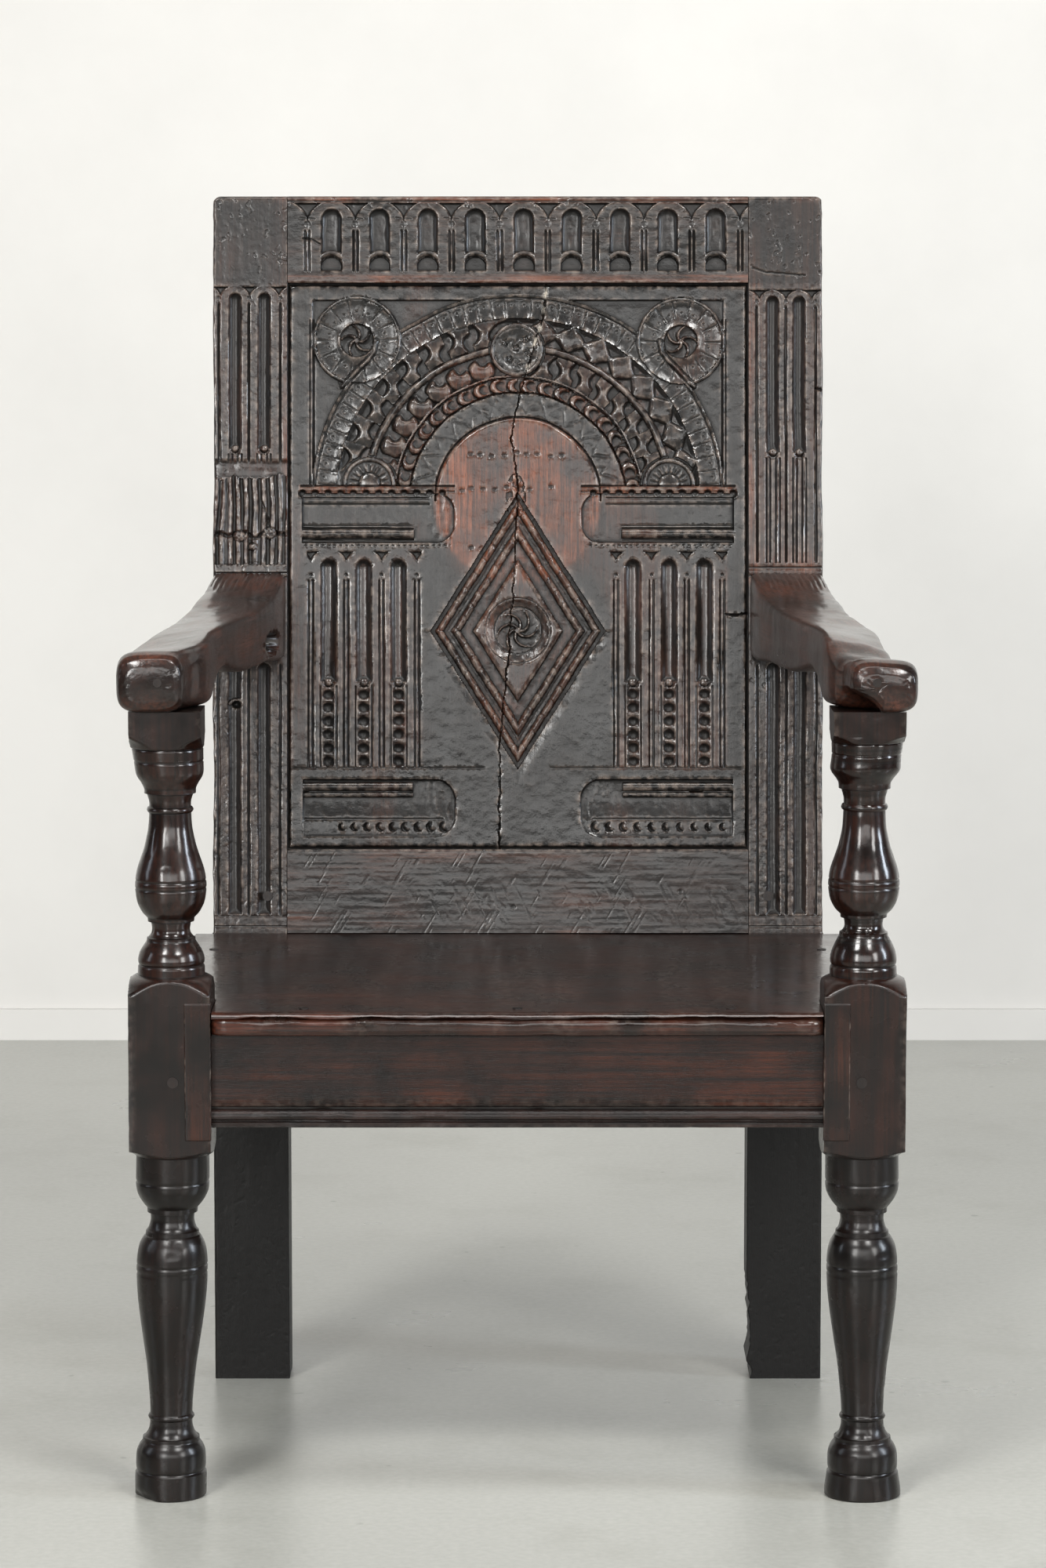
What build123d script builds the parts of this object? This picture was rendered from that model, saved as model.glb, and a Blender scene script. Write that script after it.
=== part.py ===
from build123d import *
import math
import os

# A joined oak wainscot armchair: raked panelled back, turned front posts,
# shaped open arms and a boarded seat.  Millimetres, +Z up, the sitter faces -Y.
# The origin is the middle of the bounding box at the floor.

# ---------------------------------------------------------------- main sizes
seat_height = 414.0            # floor to the top of the seat board
front_width = 641.0            # over the square blocks of the front posts
back_width = 557.0             # over the rear stiles
stile_setback = 450.0          # front face of the posts to front face of the stiles
back_rake = 7.0                # degrees that the back leans above the seat
back_slope_height = 672.5      # seat to top of the back, along the slope

# rear stiles and the framed back
stile_width = 68.5
stile_depth = 56.0
stile_corner_radius = 7.0      # worn outer top corner
crest_height = 79.5
lower_rail_height = 77.0
back_rail_thickness = 28.0
back_tenon_thickness = 9.0
back_tenon_length = 36.0
back_tenon_shoulder = 10.0     # shoulder above and below each tenon

# panel
panel_set_back = 4.0           # panel face behind the face of the frame
panel_thickness = 13.0
panel_edge_thickness = 6.5     # feathered edge that rides in the grooves
panel_feather_width = 26.0
groove_depth = 9.0
panel_float = 1.2              # room left for shrinkage at the bottom of each groove
groove_clearance = 0.4

# seat frame
rail_height = 78.0
seat_thickness = 20.0
rail_thickness = 28.0
front_rail_inset = 8.0         # rail face behind the face of the post blocks
rear_rail_inset = 4.0
side_rail_inset = 4.0
seat_tenon_thickness = 10.0
seat_tenon_shoulder = 8.0
front_tenon_length = 45.0
rear_tenon_length = 34.0
side_tenon_length = 33.0

# moulding run along the foot of the front rail
rail_fascia_height = 6.0
rail_bead_height = 9.0
rail_bead_projection = 3.0
rail_quirk = 3.0

# seat board
seat_nose = 11.0               # overhang of the board past the face of the front rail
seat_nose_radius = 8.0
seat_rear_overhang = 14.5      # board past the outer face of the stiles
seat_front_margin = 1.5        # board edge inside the outer face of the posts
seat_clearance = 0.5           # board to posts and stiles

# arms
arm_underside = 661.0
arm_thickness = 51.0           # at the handhold
arm_handhold_width = 60.0
arm_waist_width = 50.0
arm_rear_width = 63.0
arm_rear_rise = 3.0            # rear underside above the underside of the handhold
arm_rear_thickness = 77.0
arm_lobe_length = 175.0        # deep rear part
arm_hollow_length = 165.0      # from the post to the middle of the arm
arm_edge_radius = 12.0
arm_nose_round = 12.0          # rounding of the end of the handhold
arm_bedding = 1.0              # pared off the underside where it beds on the post
arm_front_overhang = 12.0      # handhold past the face of the posts
arm_side_overhang = 7.0        # handhold past the outer face of the posts
arm_arch_rise = 27.0           # hollow of the underside behind the post
arm_dip = 6.0                  # how far the top sinks behind the handhold
arm_tenon_thickness = 12.0
arm_tenon_height = 46.0
arm_tenon_length = 30.0
post_tenon_size = 26.0         # square tenon that comes up through the arm
post_tenon_proud = 1.0

# front posts, blocks
post_square = 68.5
block_height = 123.0           # plain square part that takes the seat rails
block_below_rail = 18.0        # block running on below the rails
block_shoulder = 13.0          # turned shoulder above the block
block_foot_shoulder = 8.0      # turned shoulder below the block
cap_height = 17.5              # square cap under the arm
cap_chamfer = 17.5

# front posts, diameters of the turned members
foot_diameter = 59.6
foot_ring_diameter = 47.6
foot_neck_diameter = 35.2
foot_astragal_diameter = 38.6
taper_diameter = 35.0
bulb_diameter = 59.2
bulb_ring_diameter = 43.4
small_neck_diameter = 36.2
cup_diameter = 61.0
cup_ring_diameter = 42.0
torus_diameter = 54.8
torus_ring_diameter = 40.6
vase_foot_diameter = 31.6
vase_ring_diameter = 38.6
vase_diameter = 58.9
vase_neck_diameter = 34.6
astragal_diameter = 38.6
collar_diameter = 58.0
cap_ring_diameter = 43.0

# front posts, heights of the turned members, counted from the floor up
foot_drum_height = 22.0
foot_torus_height = 25.0
foot_ring_height = 3.0
foot_cove_height = 15.5
foot_astragal_height = 4.5
bulb_shoulder_height = 29.0    # belly of the bulb to its ring; the taper takes the rest
bulb_ring_height = 3.0
small_cove_height = 16.5
cup_ring_height = 4.0
cup_height = 22.0
cup_collar_height = 22.0
torus_band_height = 8.5
torus_height = 24.5
torus_ring_height = 3.0
vase_cove_height = 14.0
vase_ring_height = 3.0
vase_swell_height = 30.0       # ring to the belly; the long neck takes the rest
astragal_height = 4.0
neck_cove_height = 13.0
cap_ring_height = 4.0
cap_cup_height = 21.0
cap_collar_height = 9.0

# let-in strip on the inner front corner of each block
strip_width = 22.0
strip_depth = 7.0
strip_clearance = 0.15

# pegs
peg_diameter = 9.0
peg_proud = 0.8
seat_peg_diameter = 8.0
arm_peg_diameter = 7.0

# fits
joint_clearance = 0.25         # tenon cheek to mortise
tenon_end_gap = 1.5            # end of tenon to bottom of mortise
peg_clearance = 0.1
seat_to_back_gap = 0.2         # lower back rail over the seat board

# carving of the crest rail
niche_count = 9
niche_pitch = 43.8
niche_width = 19.3
niche_depth = 3.6
niche_foot = 29.0              # underside of the crest to the foot of the tall niches
niche_head = 68.8              # underside of the crest to the top of the tall niches
small_niche_foot = 10.8
small_niche_head = 26.0
slot_width = 4.0
slot_depth = 2.2
slot_head = 48.0

# carving of the stiles
flute_width = 12.5
flute_depth = 3.2
flute_pitch = 25.0
upper_flute_head = 584.0       # along the slope from the seat
upper_flute_foot = 441.0
reed_width = 5.0
reed_depth = 2.0
reed_pitch = 9.0
reed_count = 6
reed_head = 415.0
reed_foot = 336.0
lower_flute_head = 244.0
lower_flute_foot = 17.0

# carving of the panel, heights along the slope from the seat
spring_line = 394.5            # centre of the lunette arcs
dome_radius = 76.0
zigzag_radius = 99.0
coin_radius = 111.5
leaf_radius = 136.5
roll_radius = 142.0
outer_leaf_radius = 166.3
strap_radius = 189.0
strap_top = 579.0              # the strap is clipped by the plain margin
lunette_foot = 410.0
band_depth = 1.6
coin_depth = 2.6
leaf_depth = 3.6
strap_depth = 2.2
rosette_height = 532.6
rosette_radius = 24.0
dish_radius = 19.0
dish_depth = 2.8
foot_rosette_offset = 136.8
volute_offset = 147.0
volute_height = 541.0
volute_radius = 37.0
whirl_radius = 17.0
entablature_inner = 57.5       # from the middle of the panel
entablature_outer = 197.0
entablature_foot = 355.5
entablature_head = 408.0
lower_field_foot = 89.7
lower_field_head = 140.7
field_depth = 3.6
field_end_radius = 18.0
roll_inner = 96.0
roll_thickness = 8.4
entablature_roll = 364.8
lower_roll = 131.0
pilaster_offset = 139.5
pilaster_pitch = 32.4
pilaster_flute_width = 15.8
pilaster_flute_depth = 3.4
pilaster_head = 342.0
pilaster_stop = 229.0
pilaster_foot = 152.5
pilaster_slot_width = 9.0
pilaster_slot_depth = 1.6
diamond_centre = 277.8
diamond_half_width = 80.0
diamond_half_height = 125.5
ridge_width = 6.0              # each beaded ridge of the lozenge, across its run
outer_channel = 3.8            # sunk channels of the lozenge, across their run
middle_channel = 6.7
inner_channel = 10.5
lozenge_sink = 3.2
roundel_radius = 30.9
roundel_inner_radius = 24.4
roundel_groove_depth = 2.4
roundel_dish_depth = 2.6
cutter_overrun = 5.0           # how far a cutter stands clear of the surface

# ---------------------------------------------------------------- derived places
rake = math.radians(back_rake)
overall_depth = (arm_front_overhang + stile_setback
                 + back_slope_height * math.sin(rake) + stile_depth * math.cos(rake))
post_front = -overall_depth / 2 + arm_front_overhang
post_back = post_front + post_square
stile_front = post_front + stile_setback
post_x = (front_width - post_square) / 2
post_y = post_front + post_square / 2
post_inner = front_width / 2 - post_square
stile_inner = back_width / 2 - stile_width
stile_outer = back_width / 2
stile_x = (stile_inner + stile_outer) / 2
seat_underside = seat_height - seat_thickness
rail_foot = seat_underside - rail_height
block_foot = rail_foot - block_below_rail
block_head = block_foot + block_height
crest_foot = back_slope_height - crest_height
groove_width = panel_edge_thickness + groove_clearance
rear_rail_front = stile_front + rear_rail_inset
back_tenon_middle = back_rail_thickness / 2


# ---------------------------------------------------------------- helpers
def block(x_range, y_range, z_range):
    """A box between three pairs of coordinates."""
    size = [high - low for low, high in (x_range, y_range, z_range)]
    middle = [(high + low) / 2 for low, high in (x_range, y_range, z_range)]
    return Pos(*middle) * Box(*size)


def in_back(shape):
    """Lean a shape made upright (x across, y depth, z up the slope) into the back."""
    return Pos(0, stile_front, seat_height) * Rot(-back_rake, 0, 0) * shape


def mirrored(shape):
    """The same shape on the other side of the chair."""
    return mirror(shape, about=Plane.YZ)


def grown(x_range, y_range, z_range, margin):
    """A box that is larger than the given ranges by a margin all round."""
    ranges = [(low - margin, high + margin) for low, high in (x_range, y_range, z_range)]
    return block(*ranges)


def raised(outline, low, high):
    """A prism on a plan outline, between two heights."""
    return extrude(Pos(0, 0, low) * outline, amount=high - low, dir=(0, 0, 1))


def across(outline, low, high):
    """A prism on a side outline (depth, height), between two places across the chair."""
    return extrude(Pos(low, 0, 0) * (Plane.YZ * outline), amount=high - low, dir=(1, 0, 0))


def rod(start, direction, length, diameter):
    """A round peg or hole from a start point along a direction."""
    plane = Plane(origin=start, z_dir=direction)
    return extrude(plane * Circle(diameter / 2), amount=length)


def sunk(outline, face, depth):
    """Cutter that sinks an outline (x across, y up the slope) into a front face."""
    floor_plane = Plane.XZ.offset(-(face + depth))
    return extrude(floor_plane * outline, amount=depth + cutter_overrun)


def flute(x, foot, head, width, depth, face):
    """Cutter for a hollow flute with round ends."""
    radius = (width * width / 4 + depth * depth) / (2 * depth)
    axis_y = face + depth - radius
    low = foot + width / 2
    high = head - width / 2
    hollow = Pos(x, axis_y, (low + high) / 2) * Cylinder(radius, high - low)
    for end in (low, high):
        hollow += Pos(x, axis_y, end) * Sphere(radius)
    return hollow


def arched(x, foot, head, width):
    """Outline of a niche with a flat foot and a round head."""
    spring = head - width / 2
    body = Pos(x, (foot + spring) / 2) * Rectangle(width, spring - foot)
    return body + Pos(x, spring) * Circle(width / 2)


def ring(x, y, outer, inner):
    """Outline of a flat ring."""
    return Pos(x, y) * (Circle(outer) - Circle(inner))


def lozenge(half_width, half_height):
    """Outline of the upright lozenge in the middle of the panel."""
    points = [(half_width, 0), (0, half_height), (-half_width, 0), (0, -half_height)]
    return Pos(0, diamond_centre) * Polygon(*points, align=None)


def strip_in_plan(start, end, thickness, extra):
    """Plan outline of a straight strip, lengthened by extra at both ends."""
    dx = end[0] - start[0]
    dy = end[1] - start[1]
    length = math.hypot(dx, dy)
    ux = dx / length
    uy = dy / length
    nx = -uy * thickness / 2
    ny = ux * thickness / 2
    a = (start[0] - ux * extra, start[1] - uy * extra)
    b = (end[0] + ux * extra, end[1] + uy * extra)
    points = [(a[0] + nx, a[1] + ny), (b[0] + nx, b[1] + ny),
              (b[0] - nx, b[1] - ny), (a[0] - nx, a[1] - ny)]
    return Polygon(*points, align=None)


# ---------------------------------------------------------------- tenons and pegs of the back
def back_tenon(low, high, margin, length):
    """Pair of tenons, or their mortises with a margin, on the rails of the back."""
    depth = (back_tenon_middle - back_tenon_thickness / 2,
             back_tenon_middle + back_tenon_thickness / 2)
    reach = stile_inner + length
    return grown((-reach, reach), depth, (low, high), margin)


crest_tenon_range = (crest_foot + groove_depth + back_tenon_shoulder,
                     back_slope_height - back_tenon_shoulder)
lower_tenon_range = (back_tenon_shoulder,
                     lower_rail_height - groove_depth - back_tenon_shoulder)
rail_tenon_range = (rail_foot + seat_tenon_shoulder, seat_underside - seat_tenon_shoulder)
peg_reach = back_tenon_length / 2


def back_pegs(diameter):
    """Pegs of the back, keyed by joint, for the right side, upright."""
    x = stile_inner + peg_reach
    crest_middle = sum(crest_tenon_range) / 2
    crest_offset = (crest_tenon_range[1] - crest_tenon_range[0]) / 4
    blind = back_tenon_middle - back_tenon_thickness
    length = stile_depth + peg_proud - blind
    crest = [rod((x, stile_depth + peg_proud, crest_middle + side * crest_offset),
                 (0, -1, 0), length, diameter) for side in (-1, 1)]
    lower_middle = sum(lower_tenon_range) / 2
    lower_length = peg_proud + back_tenon_middle + back_tenon_thickness
    lower = [rod((x, -peg_proud, lower_middle), (0, 1, 0), lower_length, diameter)]
    return {"crest": crest, "lower": lower}


def arm_tenon(margin, length):
    """Tenon at the rear of the right arm, or its mortise, upright in the back's frame."""
    middle = ((arm_rear_underside + arm_rear_top) / 2 - seat_height) / math.cos(rake)
    x = arm_rear_x
    return grown((x - arm_tenon_thickness / 2, x + arm_tenon_thickness / 2),
                 (-arm_tenon_length / 2, length),
                 (middle - arm_tenon_height / 2, middle + arm_tenon_height / 2), margin)


arm_rear_x = stile_outer - arm_rear_width / 2


def arm_rear_peg(diameter):
    """Peg through the stile and the rear tenon of the right arm."""
    middle = ((arm_rear_underside + arm_rear_top) / 2 - seat_height) / math.cos(rake)
    start = (stile_outer + peg_proud, arm_tenon_length / 2, middle)
    length = stile_outer + peg_proud - (arm_rear_x - arm_tenon_thickness)
    return rod(start, (-1, 0, 0), length, diameter)


# ---------------------------------------------------------------- rails of the seat frame
side_front = (front_width / 2 - side_rail_inset - rail_thickness / 2, post_back)
side_rear = (stile_outer - side_rail_inset - rail_thickness / 2, stile_front)


def side_tenons(margin, length):
    """Tenons at both ends of the right side rail, or their mortises."""
    low = rail_tenon_range[0] - margin
    high = rail_tenon_range[1] + margin
    outline = strip_in_plan(side_front, side_rear, seat_tenon_thickness + 2 * margin, length)
    return raised(outline, low, high)


def front_tenons(margin, length):
    """Tenons of the front rail, or their mortises in the posts."""
    middle = post_front + front_rail_inset + rail_thickness / 2
    depth = (middle - seat_tenon_thickness / 2, middle + seat_tenon_thickness / 2)
    reach = post_inner + length
    return grown((-reach, reach), depth, rail_tenon_range, margin)


def rear_tenons(margin, length):
    """Tenons of the rear seat rail, or their mortises in the stiles."""
    middle = rear_rail_front + rail_thickness / 2
    depth = (middle - seat_tenon_thickness / 2, middle + seat_tenon_thickness / 2)
    reach = stile_inner + length
    return grown((-reach, reach), depth, rail_tenon_range, margin)


rail_middle = (rail_foot + seat_underside) / 2


def seat_frame_pegs(diameter):
    """Pegs of the seat frame on the right side, keyed by joint."""
    peg_z = rail_middle
    front_length = front_rail_inset + rail_thickness / 2 + seat_tenon_thickness / 2 + peg_proud
    front = rod((post_inner + front_tenon_length * 0.7, post_front - peg_proud, peg_z),
                (0, 1, 0), front_length + joint_clearance, diameter)
    side_y = post_back - side_tenon_length / 2
    side_length = front_width / 2 + peg_proud - (side_front[0] - seat_tenon_thickness)
    side = rod((front_width / 2 + peg_proud, side_y, peg_z), (-1, 0, 0), side_length, diameter)
    rear_y = stile_front + side_tenon_length / 2
    rear_length = stile_outer + peg_proud - (side_rear[0] - seat_tenon_thickness)
    side_at_stile = rod((stile_outer + peg_proud, rear_y, peg_z), (-1, 0, 0),
                        rear_length, diameter)
    back = stile_front + stile_depth + peg_proud
    rail_depth = rear_rail_front + rail_thickness / 2 - seat_tenon_thickness
    rear = [rod((stile_inner + rear_tenon_length / 2, back, peg_z + side_step * rail_height / 5),
                (0, -1, 0), back - rail_depth, diameter) for side_step in (-1, 1)]
    return {"front": [front], "side": [side, side_at_stile], "rear": rear}


def front_seat_rail():
    """Front rail with a bead and fascia run along its foot."""
    face = post_front + front_rail_inset
    bead_foot = rail_foot + rail_fascia_height
    bead_head = bead_foot + rail_bead_height
    quirk_head = bead_head + rail_quirk
    bead_face = face - rail_bead_projection
    upper = Polyline((bead_face + rail_bead_projection, bead_head), (face + rail_quirk, bead_head),
                     (face, quirk_head), (face, seat_underside),
                     (face + rail_thickness, seat_underside), (face + rail_thickness, rail_foot),
                     (face, rail_foot), (face, bead_foot))
    bead = ThreePointArc((face, bead_foot), (bead_face, (bead_foot + bead_head) / 2),
                         (face, bead_head))
    rail = across(make_face(upper + bead), -post_inner, post_inner)
    rail += front_tenons(0, front_tenon_length)
    for peg in seat_frame_pegs(peg_diameter + 2 * peg_clearance)["front"]:
        rail -= peg
        rail -= mirrored(peg)
    for peg in seat_pegs(seat_peg_diameter + 2 * peg_clearance):
        rail -= peg
    return rail


def rear_seat_rail():
    """Plain rear rail between the stiles under the seat board."""
    rail = block((-stile_inner, stile_inner), (rear_rail_front, rear_rail_front + rail_thickness),
                 (rail_foot, seat_underside))
    rail += rear_tenons(0, rear_tenon_length)
    for peg in seat_frame_pegs(peg_diameter + 2 * peg_clearance)["rear"]:
        rail -= peg
        rail -= mirrored(peg)
    return rail


def side_seat_rail():
    """Right side rail, running in towards the narrower back."""
    points = [(side_front[0] - rail_thickness / 2, post_back),
              (side_front[0] + rail_thickness / 2, post_back),
              (side_rear[0] + rail_thickness / 2, stile_front),
              (side_rear[0] - rail_thickness / 2, stile_front)]
    outline = Polygon(*points, align=None)
    rail = raised(outline, rail_foot, seat_underside)
    rail += side_tenons(0, side_tenon_length)
    for peg in seat_frame_pegs(peg_diameter + 2 * peg_clearance)["side"]:
        rail -= peg
    for peg in seat_pegs(seat_peg_diameter + 2 * peg_clearance):
        rail -= peg
    return rail


# ---------------------------------------------------------------- seat board
def seat_pegs(diameter):
    """Pegs that hold the board down on the front and side rails."""
    front_y = post_front + front_rail_inset + rail_thickness / 2
    start_z = seat_height
    length = seat_thickness * 2
    along = [(x * post_inner, front_y) for x in (-0.7, 0, 0.7)]
    for part in (0.3, 0.75):
        x = side_front[0] + (side_rear[0] - side_front[0]) * part
        y = side_front[1] + (side_rear[1] - side_front[1]) * part
        along += [(x, y), (-x, y)]
    return [rod((x, y, start_z), (0, 0, -1), length, diameter) for x, y in along]


def seat_board():
    """One wide board, notched round the posts and housed between the stiles."""
    nose = post_front + front_rail_inset - seat_nose
    front_x = post_inner - seat_clearance
    side_x = front_width / 2 - seat_front_margin
    rear_x = stile_outer + seat_rear_overhang
    tongue_x = stile_inner - seat_clearance
    behind_post = post_back + seat_clearance
    before_stile = stile_front - seat_clearance
    tongue_back = rear_rail_front + rail_thickness
    right = [(front_x, nose), (front_x, behind_post), (side_x, behind_post),
             (rear_x, before_stile), (tongue_x, before_stile), (tongue_x, tongue_back)]
    left = [(-x, y) for x, y in reversed(right)]
    board = raised(Polygon(*right, *left, align=None), seat_underside, seat_height)
    front_edges = board.edges().filter_by(Axis.X).sort_by(Axis.Y)[:2]
    board = fillet(front_edges, seat_nose_radius)
    for peg in seat_pegs(seat_peg_diameter + 2 * peg_clearance):
        board -= peg
    return board


# ---------------------------------------------------------------- back
def crest_rail():
    """Crest rail carved with a row of round-headed niches."""
    rail = block((-stile_inner, stile_inner), (0, back_rail_thickness),
                 (crest_foot, back_slope_height))
    rail += back_tenon(*crest_tenon_range, 0, back_tenon_length)
    rail -= block((-stile_inner, stile_inner), (panel_set_back, panel_set_back + groove_width),
                  (crest_foot - cutter_overrun, crest_foot + groove_depth))
    for number in range(niche_count):
        x = (number - (niche_count - 1) / 2) * niche_pitch
        tall = arched(x, crest_foot + niche_foot, crest_foot + niche_head, niche_width)
        small = arched(x, crest_foot + small_niche_foot, crest_foot + small_niche_head,
                       niche_width * 0.9)
        rail -= sunk(tall, 0, niche_depth)
        rail -= sunk(small, 0, niche_depth)
    for number in range(niche_count - 1):
        x = (number - (niche_count - 2) / 2) * niche_pitch
        slot = arched(x, crest_foot + small_niche_foot, crest_foot + slot_head, slot_width)
        rail -= sunk(slot, 0, slot_depth)
    for peg in back_pegs(peg_diameter + 2 * peg_clearance)["crest"]:
        rail -= peg
        rail -= mirrored(peg)
    return in_back(rail)


def lower_back_rail():
    """Lower rail of the back, its foot planed level over the seat board."""
    rail = block((-stile_inner, stile_inner), (0, back_rail_thickness),
                 (-back_rail_thickness, lower_rail_height))
    rail += back_tenon(*lower_tenon_range, 0, back_tenon_length)
    rail -= block((-stile_inner, stile_inner), (panel_set_back, panel_set_back + groove_width),
                  (lower_rail_height - groove_depth, lower_rail_height + cutter_overrun))
    for peg in back_pegs(peg_diameter + 2 * peg_clearance)["lower"]:
        rail -= peg
        rail -= mirrored(peg)
    level = seat_height + seat_to_back_gap
    below = block((-back_width, back_width),
                  (stile_front - stile_depth, stile_front + 2 * stile_depth),
                  (level - 2 * back_rail_thickness, level))
    return in_back(rail) - below


def lunette_cutters(face):
    """Cutters for the arched bands, rosettes and volutes of the lunette."""
    above = Pos(0, (lunette_foot + strap_top) / 2) * Rectangle(2 * strap_radius,
                                                               strap_top - lunette_foot)
    rosettes = Pos(0, rosette_height) * Circle(rosette_radius)
    volutes = Sketch()
    for side in (-1, 1):
        rosettes += Pos(side * foot_rosette_offset, lunette_foot) * Circle(rosette_radius)
        volutes += Pos(side * volute_offset, volute_height) * Circle(volute_radius + ridge_width / 2)
    keep = rosettes + volutes
    bands = [(zigzag_radius, dome_radius, band_depth),
             (coin_radius, zigzag_radius, coin_depth),
             (leaf_radius, coin_radius, leaf_depth),
             (outer_leaf_radius, roll_radius, leaf_depth),
             (strap_radius, outer_leaf_radius, strap_depth)]
    cutters = []
    for outer, inner, depth in bands:
        outline = (ring(0, spring_line, outer, inner) & above) - keep
        cutters.append(sunk(outline, face, depth))
    dish = (dish_radius * dish_radius + dish_depth * dish_depth) / (2 * dish_depth)
    places = [(0, rosette_height)]
    for side in (-1, 1):
        cutters.append(sunk(ring(side * volute_offset, volute_height,
                                 volute_radius, whirl_radius), face, strap_depth))
        places.append((side * foot_rosette_offset, lunette_foot + dish_radius / 2))
    for x, z in places:
        cutters.append(Pos(x, face + dish_depth - dish, z) * Sphere(dish))
    return cutters


def field_cutters(face):
    """Cutters for the four sunk fields with their half-round rolls."""
    cutters = []
    fields = [(entablature_foot, entablature_head, entablature_roll),
              (lower_field_foot, lower_field_head, lower_roll)]
    for side in (-1, 1):
        for foot, head, roll_z in fields:
            width = entablature_outer - entablature_inner
            x = side * (entablature_outer + entablature_inner) / 2
            outline = Pos(x, (foot + head) / 2) * RectangleRounded(width, head - foot,
                                                                   field_end_radius)
            outer_x = side * (entablature_outer - field_end_radius)
            outline += Pos(outer_x, (foot + head) / 2) * Rectangle(2 * field_end_radius,
                                                                   head - foot)
            cutter = sunk(outline, face, field_depth)
            length = entablature_outer - roll_inner
            middle = side * (entablature_outer + roll_inner) / 2
            cutter -= Pos(middle, face + field_depth, roll_z) * Rot(0, 90, 0) * Cylinder(
                roll_thickness / 2, length)
            cutters.append(cutter)
    return cutters


def pilaster_cutters(face):
    """Cutters for the three stopped flutes on either side of the lozenge."""
    cutters = []
    for side in (-1, 1):
        for step in (-1, 0, 1):
            x = side * pilaster_offset + step * pilaster_pitch
            cutters.append(flute(x, pilaster_stop, pilaster_head, pilaster_flute_width,
                                 pilaster_flute_depth, face))
            slot = arched(x, pilaster_foot, pilaster_stop - ridge_width, pilaster_slot_width)
            cutters.append(sunk(slot, face, pilaster_slot_depth))
    return cutters


def diamond_cutters(face):
    """Cutters for the lozenge: sunk channels between ridges, and the roundel."""
    slope = diamond_half_height / diamond_half_width
    across = math.hypot(1, slope) / slope
    cutters = []
    outer = 0
    for channel in (outer_channel, middle_channel, inner_channel):
        inner = outer + channel * across
        outline = (lozenge(diamond_half_width - outer, diamond_half_height - outer * slope)
                   - lozenge(diamond_half_width - inner, diamond_half_height - inner * slope))
        cutters.append(sunk(outline, face, lozenge_sink))
        outer = inner + ridge_width * across
    cutters.append(sunk(ring(0, diamond_centre, roundel_radius, roundel_inner_radius),
                        face, roundel_groove_depth))
    radius = roundel_inner_radius - ridge_width / 2
    dish = (radius * radius + roundel_dish_depth * roundel_dish_depth) / (2 * roundel_dish_depth)
    cutters.append(Pos(0, face + roundel_dish_depth - dish, diamond_centre) * Sphere(dish))
    return cutters


def back_panel():
    """One wide board with feathered edges, carved in low relief on its face."""
    reach = groove_depth - panel_float
    x = stile_inner + reach
    low = lower_rail_height - reach
    high = crest_foot + reach
    face = panel_set_back + groove_clearance / 2
    board = block((-x, x), (face, face + panel_thickness), (low, high))
    thin = face + panel_edge_thickness
    back = face + panel_thickness
    slope = (back - thin) / panel_feather_width
    over = cutter_overrun
    flat = reach + groove_clearance
    for side in (-1, 1):
        edge = side * x
        points = [(edge + side * over, thin), (edge - side * flat, thin),
                  (edge - side * (flat + panel_feather_width + over), back + over * slope),
                  (edge + side * over, back + over * slope)]
        board -= raised(Polygon(*points, align=None), low - over, high + over)
    for edge, side in ((low, -1), (high, 1)):
        points = [(thin, edge + side * over), (thin, edge - side * flat),
                  (back + over * slope, edge - side * (flat + panel_feather_width + over)),
                  (back + over * slope, edge + side * over)]
        board -= across(Polygon(*points, align=None), -x - over, x + over)
    cutters = (lunette_cutters(face) + field_cutters(face)
               + pilaster_cutters(face) + diamond_cutters(face))
    for cutter in cutters:
        board -= cutter
    return in_back(board)


# ---------------------------------------------------------------- rear stiles
def stile_carving():
    """Cutters for the flutes and reeds of the right stile, upright in the back's frame."""
    cutters = []
    for side in (-0.5, 0.5):
        x = stile_x + side * flute_pitch
        cutters.append(flute(x, upper_flute_foot, upper_flute_head, flute_width, flute_depth, 0))
        cutters.append(flute(x, lower_flute_foot, lower_flute_head, flute_width, flute_depth, 0))
    for number in range(reed_count):
        x = stile_x + (number - (reed_count - 1) / 2) * reed_pitch
        cutters.append(flute(x, reed_foot, reed_head, reed_width, reed_depth, 0))
    return cutters


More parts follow.
